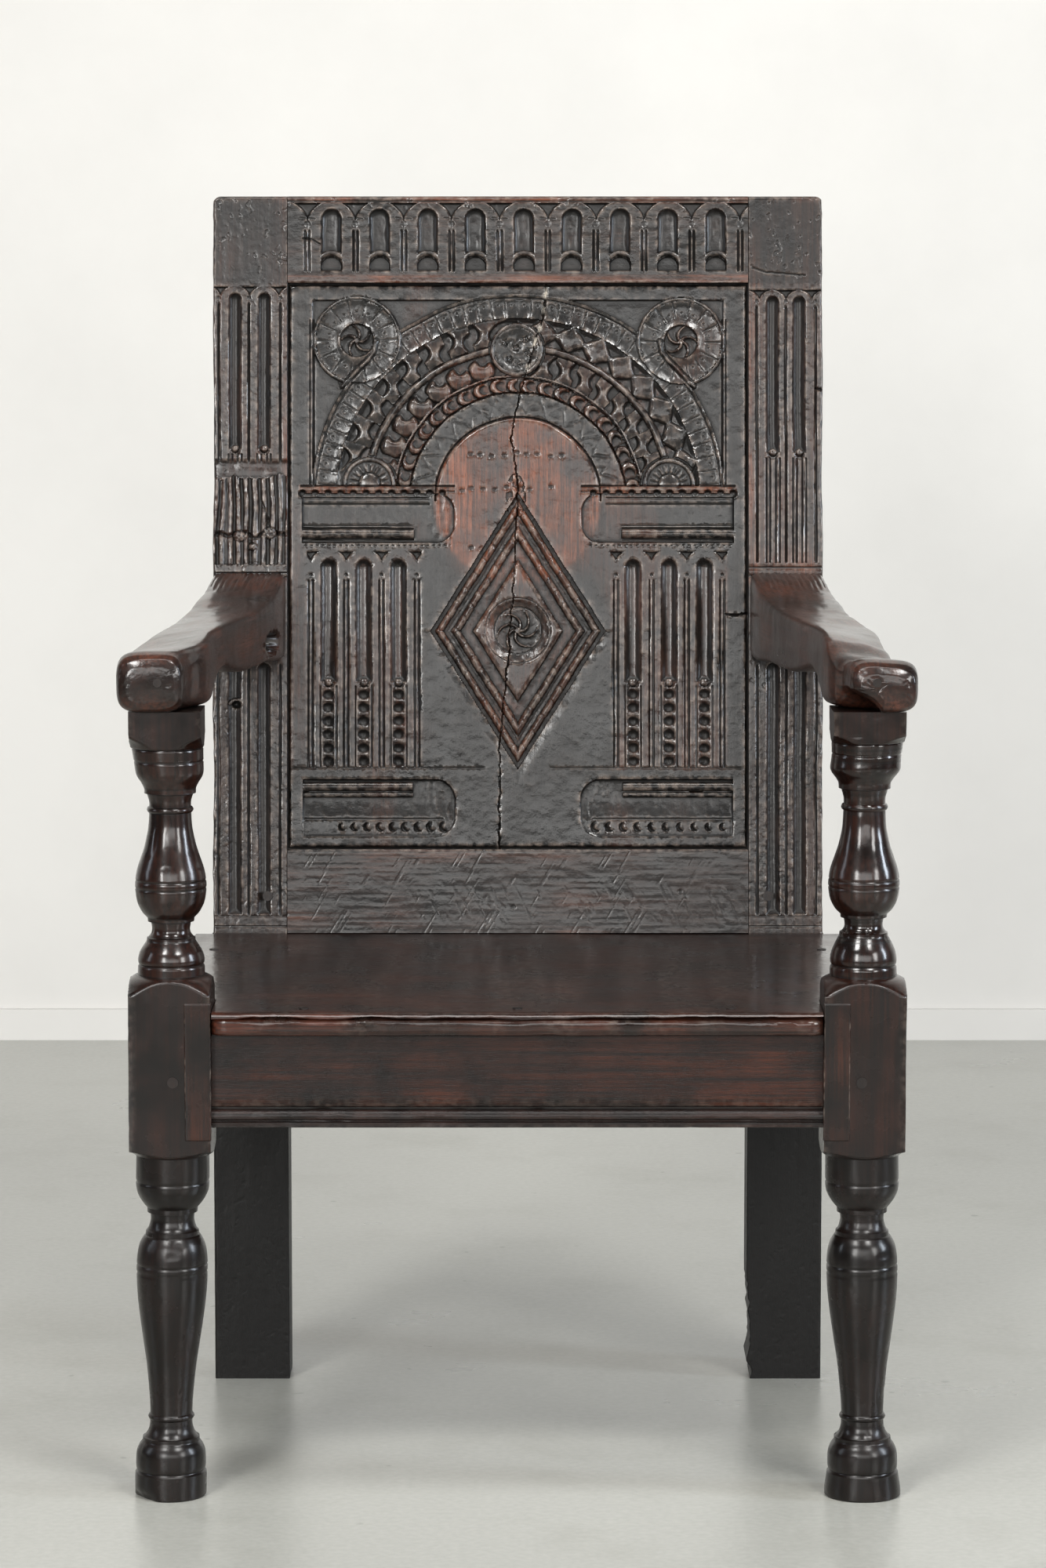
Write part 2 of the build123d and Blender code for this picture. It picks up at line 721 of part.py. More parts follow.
def rear_stile():
    """Right rear stile: upright leg below the seat, raked above it."""
    top_front = (stile_front + back_slope_height * math.sin(rake),
                 seat_height + back_slope_height * math.cos(rake))
    top_back = (top_front[0] + stile_depth * math.cos(rake),
                top_front[1] - stile_depth * math.sin(rake))
    back_knee = seat_height - stile_depth * math.tan(rake / 2)
    back_y = stile_front + stile_depth
    points = [(stile_front, 0), (back_y, 0), (back_y, back_knee), top_back, top_front,
              (stile_front, seat_height)]
    stile = across(Polygon(*points, align=None), stile_inner, stile_outer)
    corner = Vector(stile_outer, (top_front[0] + top_back[0]) / 2,
                    (top_front[1] + top_back[1]) / 2)
    top_edge = stile.edges().sort_by(lambda edge: (edge.center() - corner).length)[0]
    stile = fillet([top_edge], stile_corner_radius)
    back_length = back_tenon_length + tenon_end_gap
    cutters = [back_tenon(*crest_tenon_range, joint_clearance, back_length),
               back_tenon(*lower_tenon_range, joint_clearance, back_length),
               block((stile_inner - cutter_overrun, stile_inner + groove_depth),
                     (panel_set_back, panel_set_back + groove_width),
                     (lower_rail_height - groove_depth, crest_foot + groove_depth)),
               arm_tenon(joint_clearance, arm_tenon_length + tenon_end_gap)]
    hole = peg_diameter + 2 * peg_clearance
    for group in back_pegs(hole).values():
        cutters += group
    cutters.append(arm_rear_peg(arm_peg_diameter + 2 * peg_clearance))
    cutters += stile_carving()
    for cutter in cutters:
        stile -= in_back(cutter)
    stile -= rear_tenons(joint_clearance, rear_tenon_length + tenon_end_gap)
    stile -= side_tenons(joint_clearance, side_tenon_length + tenon_end_gap)
    pegs = seat_frame_pegs(hole)
    for peg in pegs["rear"] + pegs["side"][1:]:
        stile -= peg
    return stile


# ---------------------------------------------------------------- arms
def arm_section(depth, x, width, low, high, corner):
    """Rounded section of the right arm at a depth behind the face of the posts."""
    plane = Plane(origin=(x, post_front + depth, (low + high) / 2), x_dir=(1, 0, 0),
                  z_dir=(0, -1, 0))
    return plane * RectangleRounded(width, high - low, corner)


arm_front_x = front_width / 2 + arm_side_overhang - arm_handhold_width / 2
arm_top = arm_underside + arm_thickness
arm_rear_underside = arm_underside + arm_rear_rise
arm_rear_top = arm_rear_underside + arm_rear_thickness
arm_rear_depth = stile_setback + (arm_rear_top - seat_height) * math.tan(rake) + cutter_overrun


def arm_x(depth):
    """Middle of the arm in plan, on the line from handhold to stile."""
    part = depth / arm_rear_depth
    return arm_front_x + (arm_rear_x - arm_front_x) * part


def arm():
    """Right arm: broad rounded handhold, dipped waist and deep rear end."""
    arch = arm_arch_rise
    dip = arm_top - arm_dip
    drop = arm_rear_top - arm_top
    waist = arm_waist_width
    hand = arm_handhold_width
    wide = arm_rear_width
    under = arm_underside - arm_bedding
    hollow = arm_hollow_length
    edge = arm_edge_radius
    nose = arm_nose_round
    stations = [
        (arm_rear_depth, wide, arm_rear_underside, arm_rear_top, 0.5 * edge),
        (arm_rear_depth - 0.4 * arm_lobe_length, 0.95 * wide,
         arm_rear_underside + 0.15 * arch, arm_top + 0.55 * drop, 0.7 * edge),
        (arm_rear_depth - arm_lobe_length, (wide + waist) / 2,
         arm_rear_underside + 0.25 * arch, arm_top + 0.2 * drop, 0.85 * edge),
        (post_square + hollow, waist,
         arm_rear_underside + 0.33 * arch, arm_top - 0.4 * arm_dip, 0.9 * edge),
        (post_square + 0.64 * hollow, waist, arm_rear_underside + 0.5 * arch, dip, 0.85 * edge),
        (post_square + 0.375 * hollow, waist, arm_underside + arch, dip, 0.7 * edge),
        (post_square + 0.18 * hollow, (waist + hand) / 2,
         arm_underside + 0.33 * arch, arm_top - 0.5 * arm_dip, 0.9 * edge),
        (0.88 * post_square, 0.97 * hand, under, arm_top, edge),
        (0.2 * post_square, hand, under, arm_top, 1.15 * edge),
        (-0.6 * arm_front_overhang, 0.95 * hand,
         arm_underside + 0.25 * nose, arm_top - 0.33 * nose, 1.25 * edge),
        (-arm_front_overhang, hand - nose, arm_underside + 0.9 * nose, arm_top - nose, edge)]
    sections = [arm_section(depth, arm_x(depth), width, low, high, corner)
                for depth, width, low, high, corner in stations]
    shape = loft(Sketch() + sections)
    behind_face = block((-back_width, back_width), (0, 4 * stile_depth),
                        (-back_slope_height, back_slope_height))
    shape -= in_back(behind_face)
    shape -= block((post_x - post_square, post_x + post_square),
                   (post_front - arm_front_overhang * 2, post_back + seat_clearance),
                   (arm_underside - arm_thickness, arm_underside))
    shape += in_back(arm_tenon(0, arm_tenon_length))
    shape -= post_tenon(joint_clearance, arm_thickness)
    shape -= in_back(arm_rear_peg(arm_peg_diameter + 2 * peg_clearance))
    shape -= arm_front_peg(arm_peg_diameter + 2 * peg_clearance)
    return shape


def post_tenon(margin, extra):
    """Square tenon on the head of the right post, or its mortise through the arm."""
    half = post_tenon_size / 2
    return grown((post_x - half, post_x + half), (post_y - half, post_y + half),
                 (arm_underside - extra, arm_top + post_tenon_proud + extra), margin)


def arm_front_peg(diameter):
    """Peg driven in through the end of the handhold to lock the post's tenon."""
    x = post_x + post_tenon_size / 4
    start = (x, post_front - arm_front_overhang, (arm_underside + arm_top) / 2)
    length = arm_front_overhang + post_square / 2 + peg_proud
    return rod(start, (0, 1, 0), length, diameter)


# ---------------------------------------------------------------- front posts
def curve(start, start_run, end, end_run, *between):
    """Smooth turned outline between two points (radius, height) with given directions."""
    return Spline(start, *between, end, tangents=[start_run, end_run])


def partway(start, end, across_part, up_part):
    """A point part of the way between two points of an outline."""
    return (start[0] + (end[0] - start[0]) * across_part,
            start[1] + (end[1] - start[1]) * up_part)


def lower_pillar(reach):
    """Outline of the lower pillar from the floor to the foot of the block."""
    foot_r = foot_diameter / 2
    foot_ring_r = foot_ring_diameter / 2
    foot_neck_r = foot_neck_diameter / 2
    taper_r = taper_diameter / 2
    bulb_r = bulb_diameter / 2
    bulb_ring_r = bulb_ring_diameter / 2
    neck_r = small_neck_diameter / 2
    cup_r = cup_diameter / 2
    cup_ring_r = cup_ring_diameter / 2
    torus_foot = foot_drum_height
    ring_foot = torus_foot + foot_torus_height
    cove_foot = ring_foot + foot_ring_height
    astragal_foot = cove_foot + foot_cove_height
    taper_foot = astragal_foot + foot_astragal_height
    cup_head = block_foot - block_foot_shoulder - cup_collar_height
    cup_foot = cup_head - cup_height
    neck_head = cup_foot - cup_ring_height
    bulb_ring_head = neck_head - small_cove_height
    bulb_head = bulb_ring_head - bulb_ring_height
    belly = bulb_head - bulb_shoulder_height
    taper = partway((taper_r, taper_foot), (bulb_r, belly), 0.5, 0.48)
    shoulder = partway((bulb_r, belly), (bulb_ring_r, bulb_head), 0.3, 0.68)
    return [
        Polyline((0, 0), (foot_r, 0), (foot_r, torus_foot), (foot_r - 0.6, torus_foot)),
        curve((foot_r - 0.6, torus_foot), (0, 1), (foot_ring_r, ring_foot), (-1, 0.7)),
        Line((foot_ring_r, ring_foot), (foot_ring_r, cove_foot)),
        curve((foot_ring_r, cove_foot), (-1, 0.6), (foot_neck_r, astragal_foot), (0, 1)),
        ThreePointArc((foot_neck_r, astragal_foot),
                      (foot_astragal_diameter / 2, (astragal_foot + taper_foot) / 2),
                      (taper_r, taper_foot)),
        curve((taper_r, taper_foot), (0, 1), (bulb_r, belly), (0, 1), taper),
        curve((bulb_r, belly), (0, 1), (bulb_ring_r, bulb_head), (-1, 0.3), shoulder),
        Line((bulb_ring_r, bulb_head), (bulb_ring_r, bulb_ring_head)),
        curve((bulb_ring_r, bulb_ring_head), (-1, 0.9), (neck_r, neck_head), (0, 1)),
        Polyline((neck_r, neck_head), (cup_ring_r, neck_head), (cup_ring_r, cup_foot)),
        curve((cup_ring_r, cup_foot), (1, 0.6), (cup_r, cup_head), (0, 1)),
        Polyline((cup_r, cup_head), (cup_r, cup_head + cup_collar_height), (reach, block_foot)),
    ]


def upper_pillar(reach):
    """Outline of the upper pillar from the head of the block to the arm."""
    torus_r = torus_diameter / 2
    torus_ring_r = torus_ring_diameter / 2
    foot_r = vase_foot_diameter / 2
    vase_ring_r = vase_ring_diameter / 2
    vase_r = vase_diameter / 2
    neck_r = vase_neck_diameter / 2
    collar_r = collar_diameter / 2
    cap_ring_r = cap_ring_diameter / 2
    band_foot = block_head + block_shoulder
    torus_foot = band_foot + torus_band_height
    torus_head = torus_foot + torus_height
    cove_foot = torus_head + torus_ring_height
    ring_foot = cove_foot + vase_cove_height
    vase_foot = ring_foot + vase_ring_height
    belly = vase_foot + vase_swell_height
    cap_foot = arm_underside - cap_height - cap_chamfer
    collar_foot = cap_foot - cap_collar_height
    cup_foot = collar_foot - cap_cup_height
    neck_head = cup_foot - cap_ring_height
    astragal_head = neck_head - neck_cove_height
    vase_head = astragal_head - astragal_height
    shoulder_rim = post_square / 2 + 0.8
    hollow = partway((shoulder_rim, band_foot), (reach, block_head), 0.35, 0.62)
    vase_bow = partway((vase_r, belly), (neck_r, vase_head), 0.42, 0.38)
    vase_neck = partway((vase_r, belly), (neck_r, vase_head), 0.84, 0.68)
    return [
        curve((reach, block_head), (-1, 0.1), (shoulder_rim, band_foot), (-0.3, 1), hollow),
        Polyline((shoulder_rim, band_foot), (torus_r, band_foot), (torus_r, torus_foot)),
        curve((torus_r, torus_foot), (0, 1), (torus_ring_r, torus_head), (-1, 0.5)),
        Line((torus_ring_r, torus_head), (torus_ring_r, cove_foot)),
        curve((torus_ring_r, cove_foot), (-1, 0.5), (foot_r, ring_foot), (0.3, 1)),
        Polyline((foot_r, ring_foot), (vase_ring_r, ring_foot), (vase_ring_r, vase_foot)),
        curve((vase_ring_r, vase_foot), (1, 0.8), (vase_r, belly), (0, 1)),
        curve((vase_r, belly), (0, 1), (neck_r, vase_head), (0, 1), vase_bow, vase_neck),
        ThreePointArc((neck_r, vase_head),
                      (astragal_diameter / 2, (vase_head + astragal_head) / 2),
                      (neck_r, astragal_head)),
        curve((neck_r, astragal_head), (0, 1), (cap_ring_r, neck_head), (1, 0.8)),
        Line((cap_ring_r, neck_head), (cap_ring_r, cup_foot)),
        curve((cap_ring_r, cup_foot), (1, 0.8), (collar_r, collar_foot), (0.1, 1)),
        Polyline((collar_r, collar_foot), (collar_r, cap_foot), (reach, cap_foot + cap_chamfer),
                 (reach, arm_underside), (0, arm_underside), (0, 0)),
    ]


def post_outline():
    """Half outline of a front post, with the square parts left full."""
    reach = post_square * 0.72
    edges = lower_pillar(reach)
    edges.append(Line((reach, block_foot), (reach, block_head)))
    edges += upper_pillar(reach)
    return Plane.XZ * make_face(edges)


def post_strip(margin):
    """Let-in strip on the inner front corner of the right block, or its rebate."""
    low = block_foot + block_foot_shoulder + strip_clearance
    return block((post_inner - margin, post_inner + strip_width + margin),
                 (post_front - margin, post_front + strip_depth + margin),
                 (low - margin, block_head + margin))


def front_post():
    """Right front post, turned above and below a square block."""
    turned = Pos(post_x, post_y, 0) * revolve(post_outline(), axis=Axis.Z)
    square = block((post_x - post_square / 2, post_x + post_square / 2),
                   (post_y - post_square / 2, post_y + post_square / 2), (0, arm_underside))
    post = turned & square
    post += post_tenon(0, 0)
    post -= post_strip(strip_clearance)
    post -= front_tenons(joint_clearance, front_tenon_length + tenon_end_gap)
    post -= side_tenons(joint_clearance, side_tenon_length + tenon_end_gap)
    pegs = seat_frame_pegs(peg_diameter + 2 * peg_clearance)
    for peg in pegs["front"] + pegs["side"][:1]:
        post -= peg
    post -= arm_front_peg(arm_peg_diameter + 2 * peg_clearance)
    return post


# ---------------------------------------------------------------- write one file per piece
def both_sides(shapes):
    """A group of separate solids: the given ones and their mirror images."""
    return Compound(children=[*shapes, *[mirrored(shape) for shape in shapes]])


def pieces():
    """Every piece of the chair under its own name."""
    stile = rear_stile()
    right_arm = arm()
    post = front_post()
    side_rail = side_seat_rail()
    strip = post_strip(0)
    frame_pegs = seat_frame_pegs(peg_diameter)
    upright_pegs = back_pegs(peg_diameter)
    return {
        "left_rear_stile": mirrored(stile),
        "right_rear_stile": stile,
        "crest_rail": crest_rail(),
        "lower_back_rail": lower_back_rail(),
        "back_panel": back_panel(),
        "front_seat_rail": front_seat_rail(),
        "rear_seat_rail": rear_seat_rail(),
        "left_side_seat_rail": mirrored(side_rail),
        "right_side_seat_rail": side_rail,
        "seat_board": seat_board(),
        "left_arm": mirrored(right_arm),
        "right_arm": right_arm,
        "left_front_post": mirrored(post),
        "right_front_post": post,
        "left_post_strip": mirrored(strip),
        "right_post_strip": strip,
        "crest_rail_pegs": both_sides([in_back(peg) for peg in upright_pegs["crest"]]),
        "lower_back_rail_pegs": both_sides([in_back(peg) for peg in upright_pegs["lower"]]),
        "front_seat_rail_pegs": both_sides(frame_pegs["front"]),
        "rear_seat_rail_pegs": both_sides(frame_pegs["rear"]),
        "side_seat_rail_pegs": both_sides(frame_pegs["side"]),
        "arm_rear_pegs": both_sides([in_back(arm_rear_peg(arm_peg_diameter))]),
        "arm_front_pegs": both_sides([arm_front_peg(arm_peg_diameter)]),
        "seat_board_pegs": Compound(children=seat_pegs(seat_peg_diameter)),
    }


def write():
    """Write each piece to its own file."""
    os.makedirs("parts", exist_ok=True)
    for name, shape in pieces().items():
        export_step(shape, f"parts/{name}.step")


write()
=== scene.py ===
import math

import bmesh
import bpy
import numpy as np
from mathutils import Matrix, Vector


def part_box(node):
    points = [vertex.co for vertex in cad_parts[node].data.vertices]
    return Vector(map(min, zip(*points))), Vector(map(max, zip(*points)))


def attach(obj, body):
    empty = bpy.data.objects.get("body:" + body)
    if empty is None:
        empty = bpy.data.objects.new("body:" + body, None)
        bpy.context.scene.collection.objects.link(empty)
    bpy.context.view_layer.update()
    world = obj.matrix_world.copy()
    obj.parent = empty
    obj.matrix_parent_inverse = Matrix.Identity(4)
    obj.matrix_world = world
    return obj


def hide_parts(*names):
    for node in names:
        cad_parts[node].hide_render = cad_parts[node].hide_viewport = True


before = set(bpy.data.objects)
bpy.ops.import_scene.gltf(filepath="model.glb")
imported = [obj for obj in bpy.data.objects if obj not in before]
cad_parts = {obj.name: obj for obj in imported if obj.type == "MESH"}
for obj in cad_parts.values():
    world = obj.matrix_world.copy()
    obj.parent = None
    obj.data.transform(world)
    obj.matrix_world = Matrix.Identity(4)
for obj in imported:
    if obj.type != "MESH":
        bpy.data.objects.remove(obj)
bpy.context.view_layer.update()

# A joined oak wainscot armchair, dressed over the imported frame.  The carving is
# worked in millimetres on flat charts: u across a board, v up it, height below
# its face, and w the depth behind the face of the back's frame.

MM = 0.001

# ---------------------------------------------------------------- sizes shared with the frame
SEAT = 414.0
RAKE = math.radians(7.0)
STILE_FRONT = 162.23
STILE_DEPTH = 56.0
STILE_INNER = 210.0
STILE_OUTER = 278.5
BACK_TOP = 672.5
CREST_FOOT = 593.0
LOWER_RAIL_HEAD = 77.0
RAIL_THICKNESS = 28.0
PANEL_FACE = 4.2
PANEL_THICKNESS = 13.0
PANEL_EDGE = 6.5
PANEL_REACH = 7.8
POST_FRONT = -287.77
POST_SQUARE = 68.5
POST_X = 286.25
POST_Y = POST_FRONT + POST_SQUARE / 2
POST_INNER = POST_X - POST_SQUARE / 2
BLOCK_FOOT = 298.0
BLOCK_HEAD = 421.0
SEAT_THICKNESS = 20.0
# depth to which the sides of a carved board share the wear, tones, painted highlight and painted shade of
# its face
WEAR_DEPTH = 9.0
# spacing of the meshes against their full fineness
FINE = 1.0


# ---------------------------------------------------------------- carver's marks
def eased(x, low, high):
    """0 below low and 1 above high, with soft ends."""
    part = unit((x - low) / (high - low))
    return part * part * (3.0 - 2.0 * part)


def fading(x, low, high):
    """1 below low and 0 above high, with soft ends."""
    return eased(-x, -high, -low)


def drift(u, v, size_u, size_v, seed):
    """Smooth random waviness from -1 to 1, in patches of the given size."""
    lattice = np.random.default_rng(seed).uniform(-1.0, 1.0, (61, 67))
    across = u / size_u + 1000.0
    along = v / size_v + 1000.0
    column = np.floor(across).astype(int)
    row = np.floor(along).astype(int)
    part = eased(across - column, 0.0, 1.0)
    rise = eased(along - row, 0.0, 1.0)
    left, right = column % 61, (column + 1) % 61
    foot, head = row % 67, (row + 1) % 67
    low = lattice[left, foot] * (1.0 - part) + lattice[right, foot] * part
    high = lattice[left, head] * (1.0 - part) + lattice[right, head] * part
    return low * (1.0 - rise) + high * rise


def cloudy(u, v, size_u, size_v, seed):
    """Smooth random cloud from 0 to 1."""
    return 0.5 + 0.5 * drift(u, v, size_u, size_v, seed)


def ripple(along, size, seed):
    """Random waviness along one line."""
    return drift(along, along * 0.0, size, 1.0, seed)


def unit(x):
    """x held between 0 and 1."""
    return np.clip(x, 0.0, 1.0)


def between(x, low, high):
    """Whether x lies between two limits."""
    return (x > low) & (x < high)


def half_round(distance, half_width):
    """Height of a half-round roll, from 0 to 1, by the distance from its middle."""
    return np.sqrt(unit(1.0 - (distance / half_width) ** 2))


def waved(u, v, *waves):
    """Sum of random waves, each given as its height, its size along u and v, and its seed."""
    return sum(rise * drift(u, v, size_u, size_v, seed) for rise, size_u, size_v, seed in waves)


def gouge(distance, half_width, depth, fullness=2.0):
    """A cut by its distance from the middle line: 1 is a V, 2 a round and 5 nearly flat."""
    part = unit(np.abs(distance) / half_width)
    return -depth * (1.0 - part ** fullness)


def sunk(outside, depth, wall=1.6):
    """Ground cut down inside an outline, given the distance out of that outline."""
    return -depth * eased(-outside, 0.0, wall)


def slot(u, v, x, foot, head, width):
    """Distance out of an upright slot with a round head."""
    radius = width / 2
    straight = np.maximum(np.abs(u - x) - radius, foot - v)
    return np.where(v > head - radius, np.hypot(u - x, v - head + radius) - radius, straight)


def oblong(u, v, left, right, foot, head, corner=0.0):
    """Distance out of an oblong with rounded corners."""
    across = np.abs(u - (left + right) / 2) - (right - left) / 2 + corner
    along = np.abs(v - (foot + head) / 2) - (head - foot) / 2 + corner
    beyond = np.hypot(np.maximum(across, 0.0), np.maximum(along, 0.0))
    return beyond + np.minimum(np.maximum(across, along), 0.0) - corner


def run(u, v, points):
    """Distance from a line that bends through the points."""
    nearest = np.full(np.shape(u), 1e6)
    for (x0, z0), (x1, z1) in zip(points, points[1:]):
        length = (x1 - x0) ** 2 + (z1 - z0) ** 2
        part = unit(((u - x0) * (x1 - x0) + (v - z0) * (z1 - z0)) / length)
        away = np.hypot(u - x0 - part * (x1 - x0), v - z0 - part * (z1 - z0))
        nearest = np.minimum(nearest, away)
    return nearest


def deepened(height, distance, half_width):
    """Height with a narrow trench along a line."""
    return np.where(np.abs(distance) < half_width, np.minimum(height, -2.6), height)


def fluted(height, outside, half_width, depth, fullness=2.1):
    """Height with a hollow flute, given the distance out of the outline of the flute."""
    bowl = depth * (1.0 - unit(1.0 + outside / half_width) ** fullness)
    return np.where(outside < 0, height - bowl, height)


def crescent(u, v, x, z, radius, turn, depth):
    """A gouge stroke shaped like a C that opens towards the turn, in degrees."""
    lean = math.radians(turn)
    away = np.hypot(u - x, v - z)
    inner = np.hypot(u - x - 0.55 * radius * math.cos(lean), v - z - 0.55 * radius * math.sin(lean))
    part = unit((inner - 0.62 * radius) / (0.5 * radius))
    return np.where(away < radius, -depth * part * (1.0 - (away / radius) ** 4), 0.0)


def arris(outside, radius):
    """Edge of a board rounded over by wear, by the distance out of its outline."""
    near = unit(outside / radius + 1.0)
    return -radius * (1.0 - np.sqrt(1.0 - near * near))


def dented(u, v, size, seed):
    """Scattered dents of no set shape, from 0 to 1."""
    lean = 0.82 * u + 0.57 * v + 2.0 * drift(u, v, 9, 13, seed + 1)
    rise = 0.82 * v - 0.57 * u + 2.0 * drift(u, v, 12, 8, seed + 2)
    first = drift(lean, rise, size, 1.3 * size, seed)
    second = drift(rise, u, 1.7 * size, 2.1 * size, seed + 3)
    return eased(first + 0.6 * second, 0.62, 1.1)


def hood(u, v, x, centre, radius, top, pitch):
    """Ground cut down between the arched hoods that stand over a row of flutes."""
    beside = (u - x) - pitch * np.round((u - x) / pitch)
    outside = np.maximum(radius - np.hypot(beside, v - centre), v - top)
    outside = np.maximum(outside, centre - 4.0 - v)
    return sunk(outside, 2.6, 1.7) - 0.35 * eased(-np.abs(outside + 0.9), -1.6, 0.0)


# ---------------------------------------------------------------- lunette of the panel
SPRING = 394.9
BEAD_TOP = 408.2
ROSETTE = (-1.0, 532.6)
HALF_ROSETTES = ((-135.8, 410.4), (137.9, 409.4))
VOLUTES = ((-147.0, 541.2), (148.8, 540.0))
# radii of the arched bands, from the dome outwards
DOME = 76.0
ZIGZAG_OUT = 99.0
COINS_OUT = 111.5
ROLL_RADIUS = 139.6
LEAVES_MEET = 142.2
LEAVES_OUT = 166.3
STRAP_RADIUS = 177.5
STRAP_OUT = 189.0


def in_cell(along, pitch):
    """Millimetres along a band from the middle of the nearest of its equal parts."""
    return (along - np.floor(along) - 0.5) * pitch


def coin_row(along, across):
    """A row of cupped crescents, each open towards the back of the one before."""
    near = in_cell(along, 15.9)
    outer = np.hypot((near - 0.6) / 1.18, across) - 6.4
    inner = np.hypot((near - 4.6) / 1.25, across) - 4.2
    height = eased(inner, -0.6, 1.7) * eased(-outer, -0.5, 0.9)
    return -3.9 + 3.8 * height - 0.6 * eased(inner, 1.5, 5.0)


def beside_leaf(u, v, side, radius, first, last, count):
    """Offsets across and up from the nearest of the leaves along one side of an arched band."""
    nearest = np.full(np.shape(u), 1e6)
    x, z = np.zeros_like(nearest), np.zeros_like(nearest)
    for angle in np.linspace(first, last, count):
        across = u - side * radius * math.cos(angle)
        up = v - SPRING - radius * math.sin(angle)
        closer = np.hypot(across, up) < nearest
        nearest = np.where(closer, np.hypot(across, up), nearest)
        x = np.where(closer, across, x)
        z = np.where(closer, up, z)
    return x, z


def leaf_claw(x, z):
    """A thick claw: two horns round a scoop at its head and a swelling body under it."""
    body = (1.0 - np.hypot(x / 10.8, (z + 1.4) / 9.6)) * 9.0
    scoop = np.hypot(x - 1.0, z - 8.6) - 7.4
    height = eased(body, -2.4, 1.6) * eased(scoop, -3.4, 0.6)
    return -4.7 + 4.6 * height - 1.6 * unit(-z / 9.0) ** 2 * height


def leaf_rib(x, z, lean_over):
    """An upright hourglass rib whose flared ends close the round scoops beside it."""
    x = x - lean_over * z
    inside = 3.0 + 0.074 * z * z - np.abs(x)
    height = eased(inside, -3.6, 0.9) ** 1.4
    saddle = 1.6 * np.clip(np.abs(z) / 11.0, 0.0, 1.2) ** 2
    return -4.7 + 4.6 * height - saddle * height


def leaf_chain(along, across):
    """A chain of swelling leaves with four hollow sides, pinched where they meet."""
    near = in_cell(along, 25.0)
    inside = 1.0 - (np.abs(near) / 17.0) ** 0.82 - (np.abs(across) / 14.6) ** 0.82
    height = eased(inside, -0.16, 0.14)
    fold = 2.2 * (near / 12.5) ** 2 + 1.2 * (across / 12.0) ** 2
    return -4.8 + 4.7 * height - fold * height


def strap_marks(along, across, pitch):
    """Nicks and punched eyes along a hollow strap; across runs from -1 to 1."""
    phase = along / pitch
    cell = np.floor(phase)
    beside = (phase - cell - 0.5) * pitch
    nick = gouge(beside, 0.9, 0.9, 1.0) * eased(0.9 - np.abs(across + 0.25), 0.0, 0.25)
    dot = (phase - np.floor(phase + 0.5)) * pitch
    away = np.hypot(dot, 11.5 * (across - 0.1))
    brow = gouge(away - 3.0, 1.0, 0.4) * eased(across, -0.05, 0.25)
    return nick + brow + gouge(away, 1.5, 1.0)


def whirl_arm(turn, away, count):
    """Of bent spokes round a middle: 0 to 1 on the way to a spoke, and the distance off it."""
    arm = np.abs(np.mod(turn * count / (2.0 * math.pi), 1.0) - 0.5) * 2.0
    return arm, (1.0 - arm) * math.pi * away / count


def volute(u, v, x, z, side):
    """A strap curled round a small whirl of bent spokes."""
    away = np.hypot(u - x, v - z)
    turn = np.arctan2(v - z, side * (u - x))
    across = (away - 27.0) / 11.0
    strap = -1.9 * (1.0 - unit(np.abs(across)) ** 2.4) - 0.25
    strap = strap + 0.8 * strap_marks(turn * 27.0 + 200.0, -across, 12.1) + 0.2 * drift(u, v, 6, 6, 37)
    arm, arm_off = whirl_arm(turn + 0.085 * away, away, 5.0)
    whirl = -3.1 + 2.5 * (1.0 - eased(arm_off, 0.3, 1.9)) + 0.7 * eased(arm, 0.1, 0.7)
    whirl = np.where(away < 2.2, -0.7, whirl)
    whirl = np.where(away < 14.6, whirl, -3.1 + 2.9 * eased(away, 14.2, 16.0))
    return np.where(away < 16.2, whirl, strap)


def arched_strap(u, v, away, foot_angle, worked):
    """The ground outside the arch, and the hollow strap with its beads and marks."""
    field = oblong(u, v, -188.5, 188.5, 380.0, 578.8, 2.0)
    worked = np.where((v > BEAD_TOP) & (away > 186.0), worked + sunk(field, 1.9, 2.0), worked)
    across = (away - STRAP_RADIUS) / 11.5
    strap = -1.7 * (1.0 - unit(np.abs(across)) ** 2.2) - 0.35
    strap = strap + 0.8 * strap_marks(foot_angle * STRAP_RADIUS + 4.0, across, 12.6)
    strap = strap + gouge(away - 185.4, 0.9, 0.9) + 0.2 * drift(u, v, 6, 6, 36)
    return np.where(between(away, LEAVES_OUT, STRAP_OUT), strap, worked)


def leaf_bands(u, v, away, foot_angle, worked):
    """The outer and the inner band of leaves, with a roll between them."""
    left = u < 0
    outer_cell = (foot_angle - 0.13) / (1.43 - 0.13) * 7.5
    outer_across = away - 154.2
    left_ribs = leaf_rib(*beside_leaf(u, v, -1, 154.0, 0.26, 1.37, 8), 0.0)
    right_ribs = leaf_rib(*beside_leaf(u, v, 1, 125.0, 0.26, 1.38, 8), 0.25)
    claws = leaf_claw(*beside_leaf(u, v, -1, 124.0, 0.25, 1.30, 7))
    outer = np.where(left, left_ribs, leaf_chain(outer_cell, outer_across))
    outer = outer + 0.55 * (-0.6 - outer) * eased(away, 162.0, LEAVES_OUT)
    inner = np.where(left, claws, right_ribs)
    rough = 0.25 * drift(u, v, 3.5, 3.5, 32)
    worked = np.where((away > LEAVES_MEET) & (away <= LEAVES_OUT), outer + rough, worked)
    worked = np.where((away > COINS_OUT) & (away <= LEAVES_MEET), inner + rough, worked)
    roll = -3.0 + 2.8 * half_round(away - ROLL_RADIUS, 2.9)
    return np.where(np.abs(away - ROLL_RADIUS) < 3.6, roll, worked)


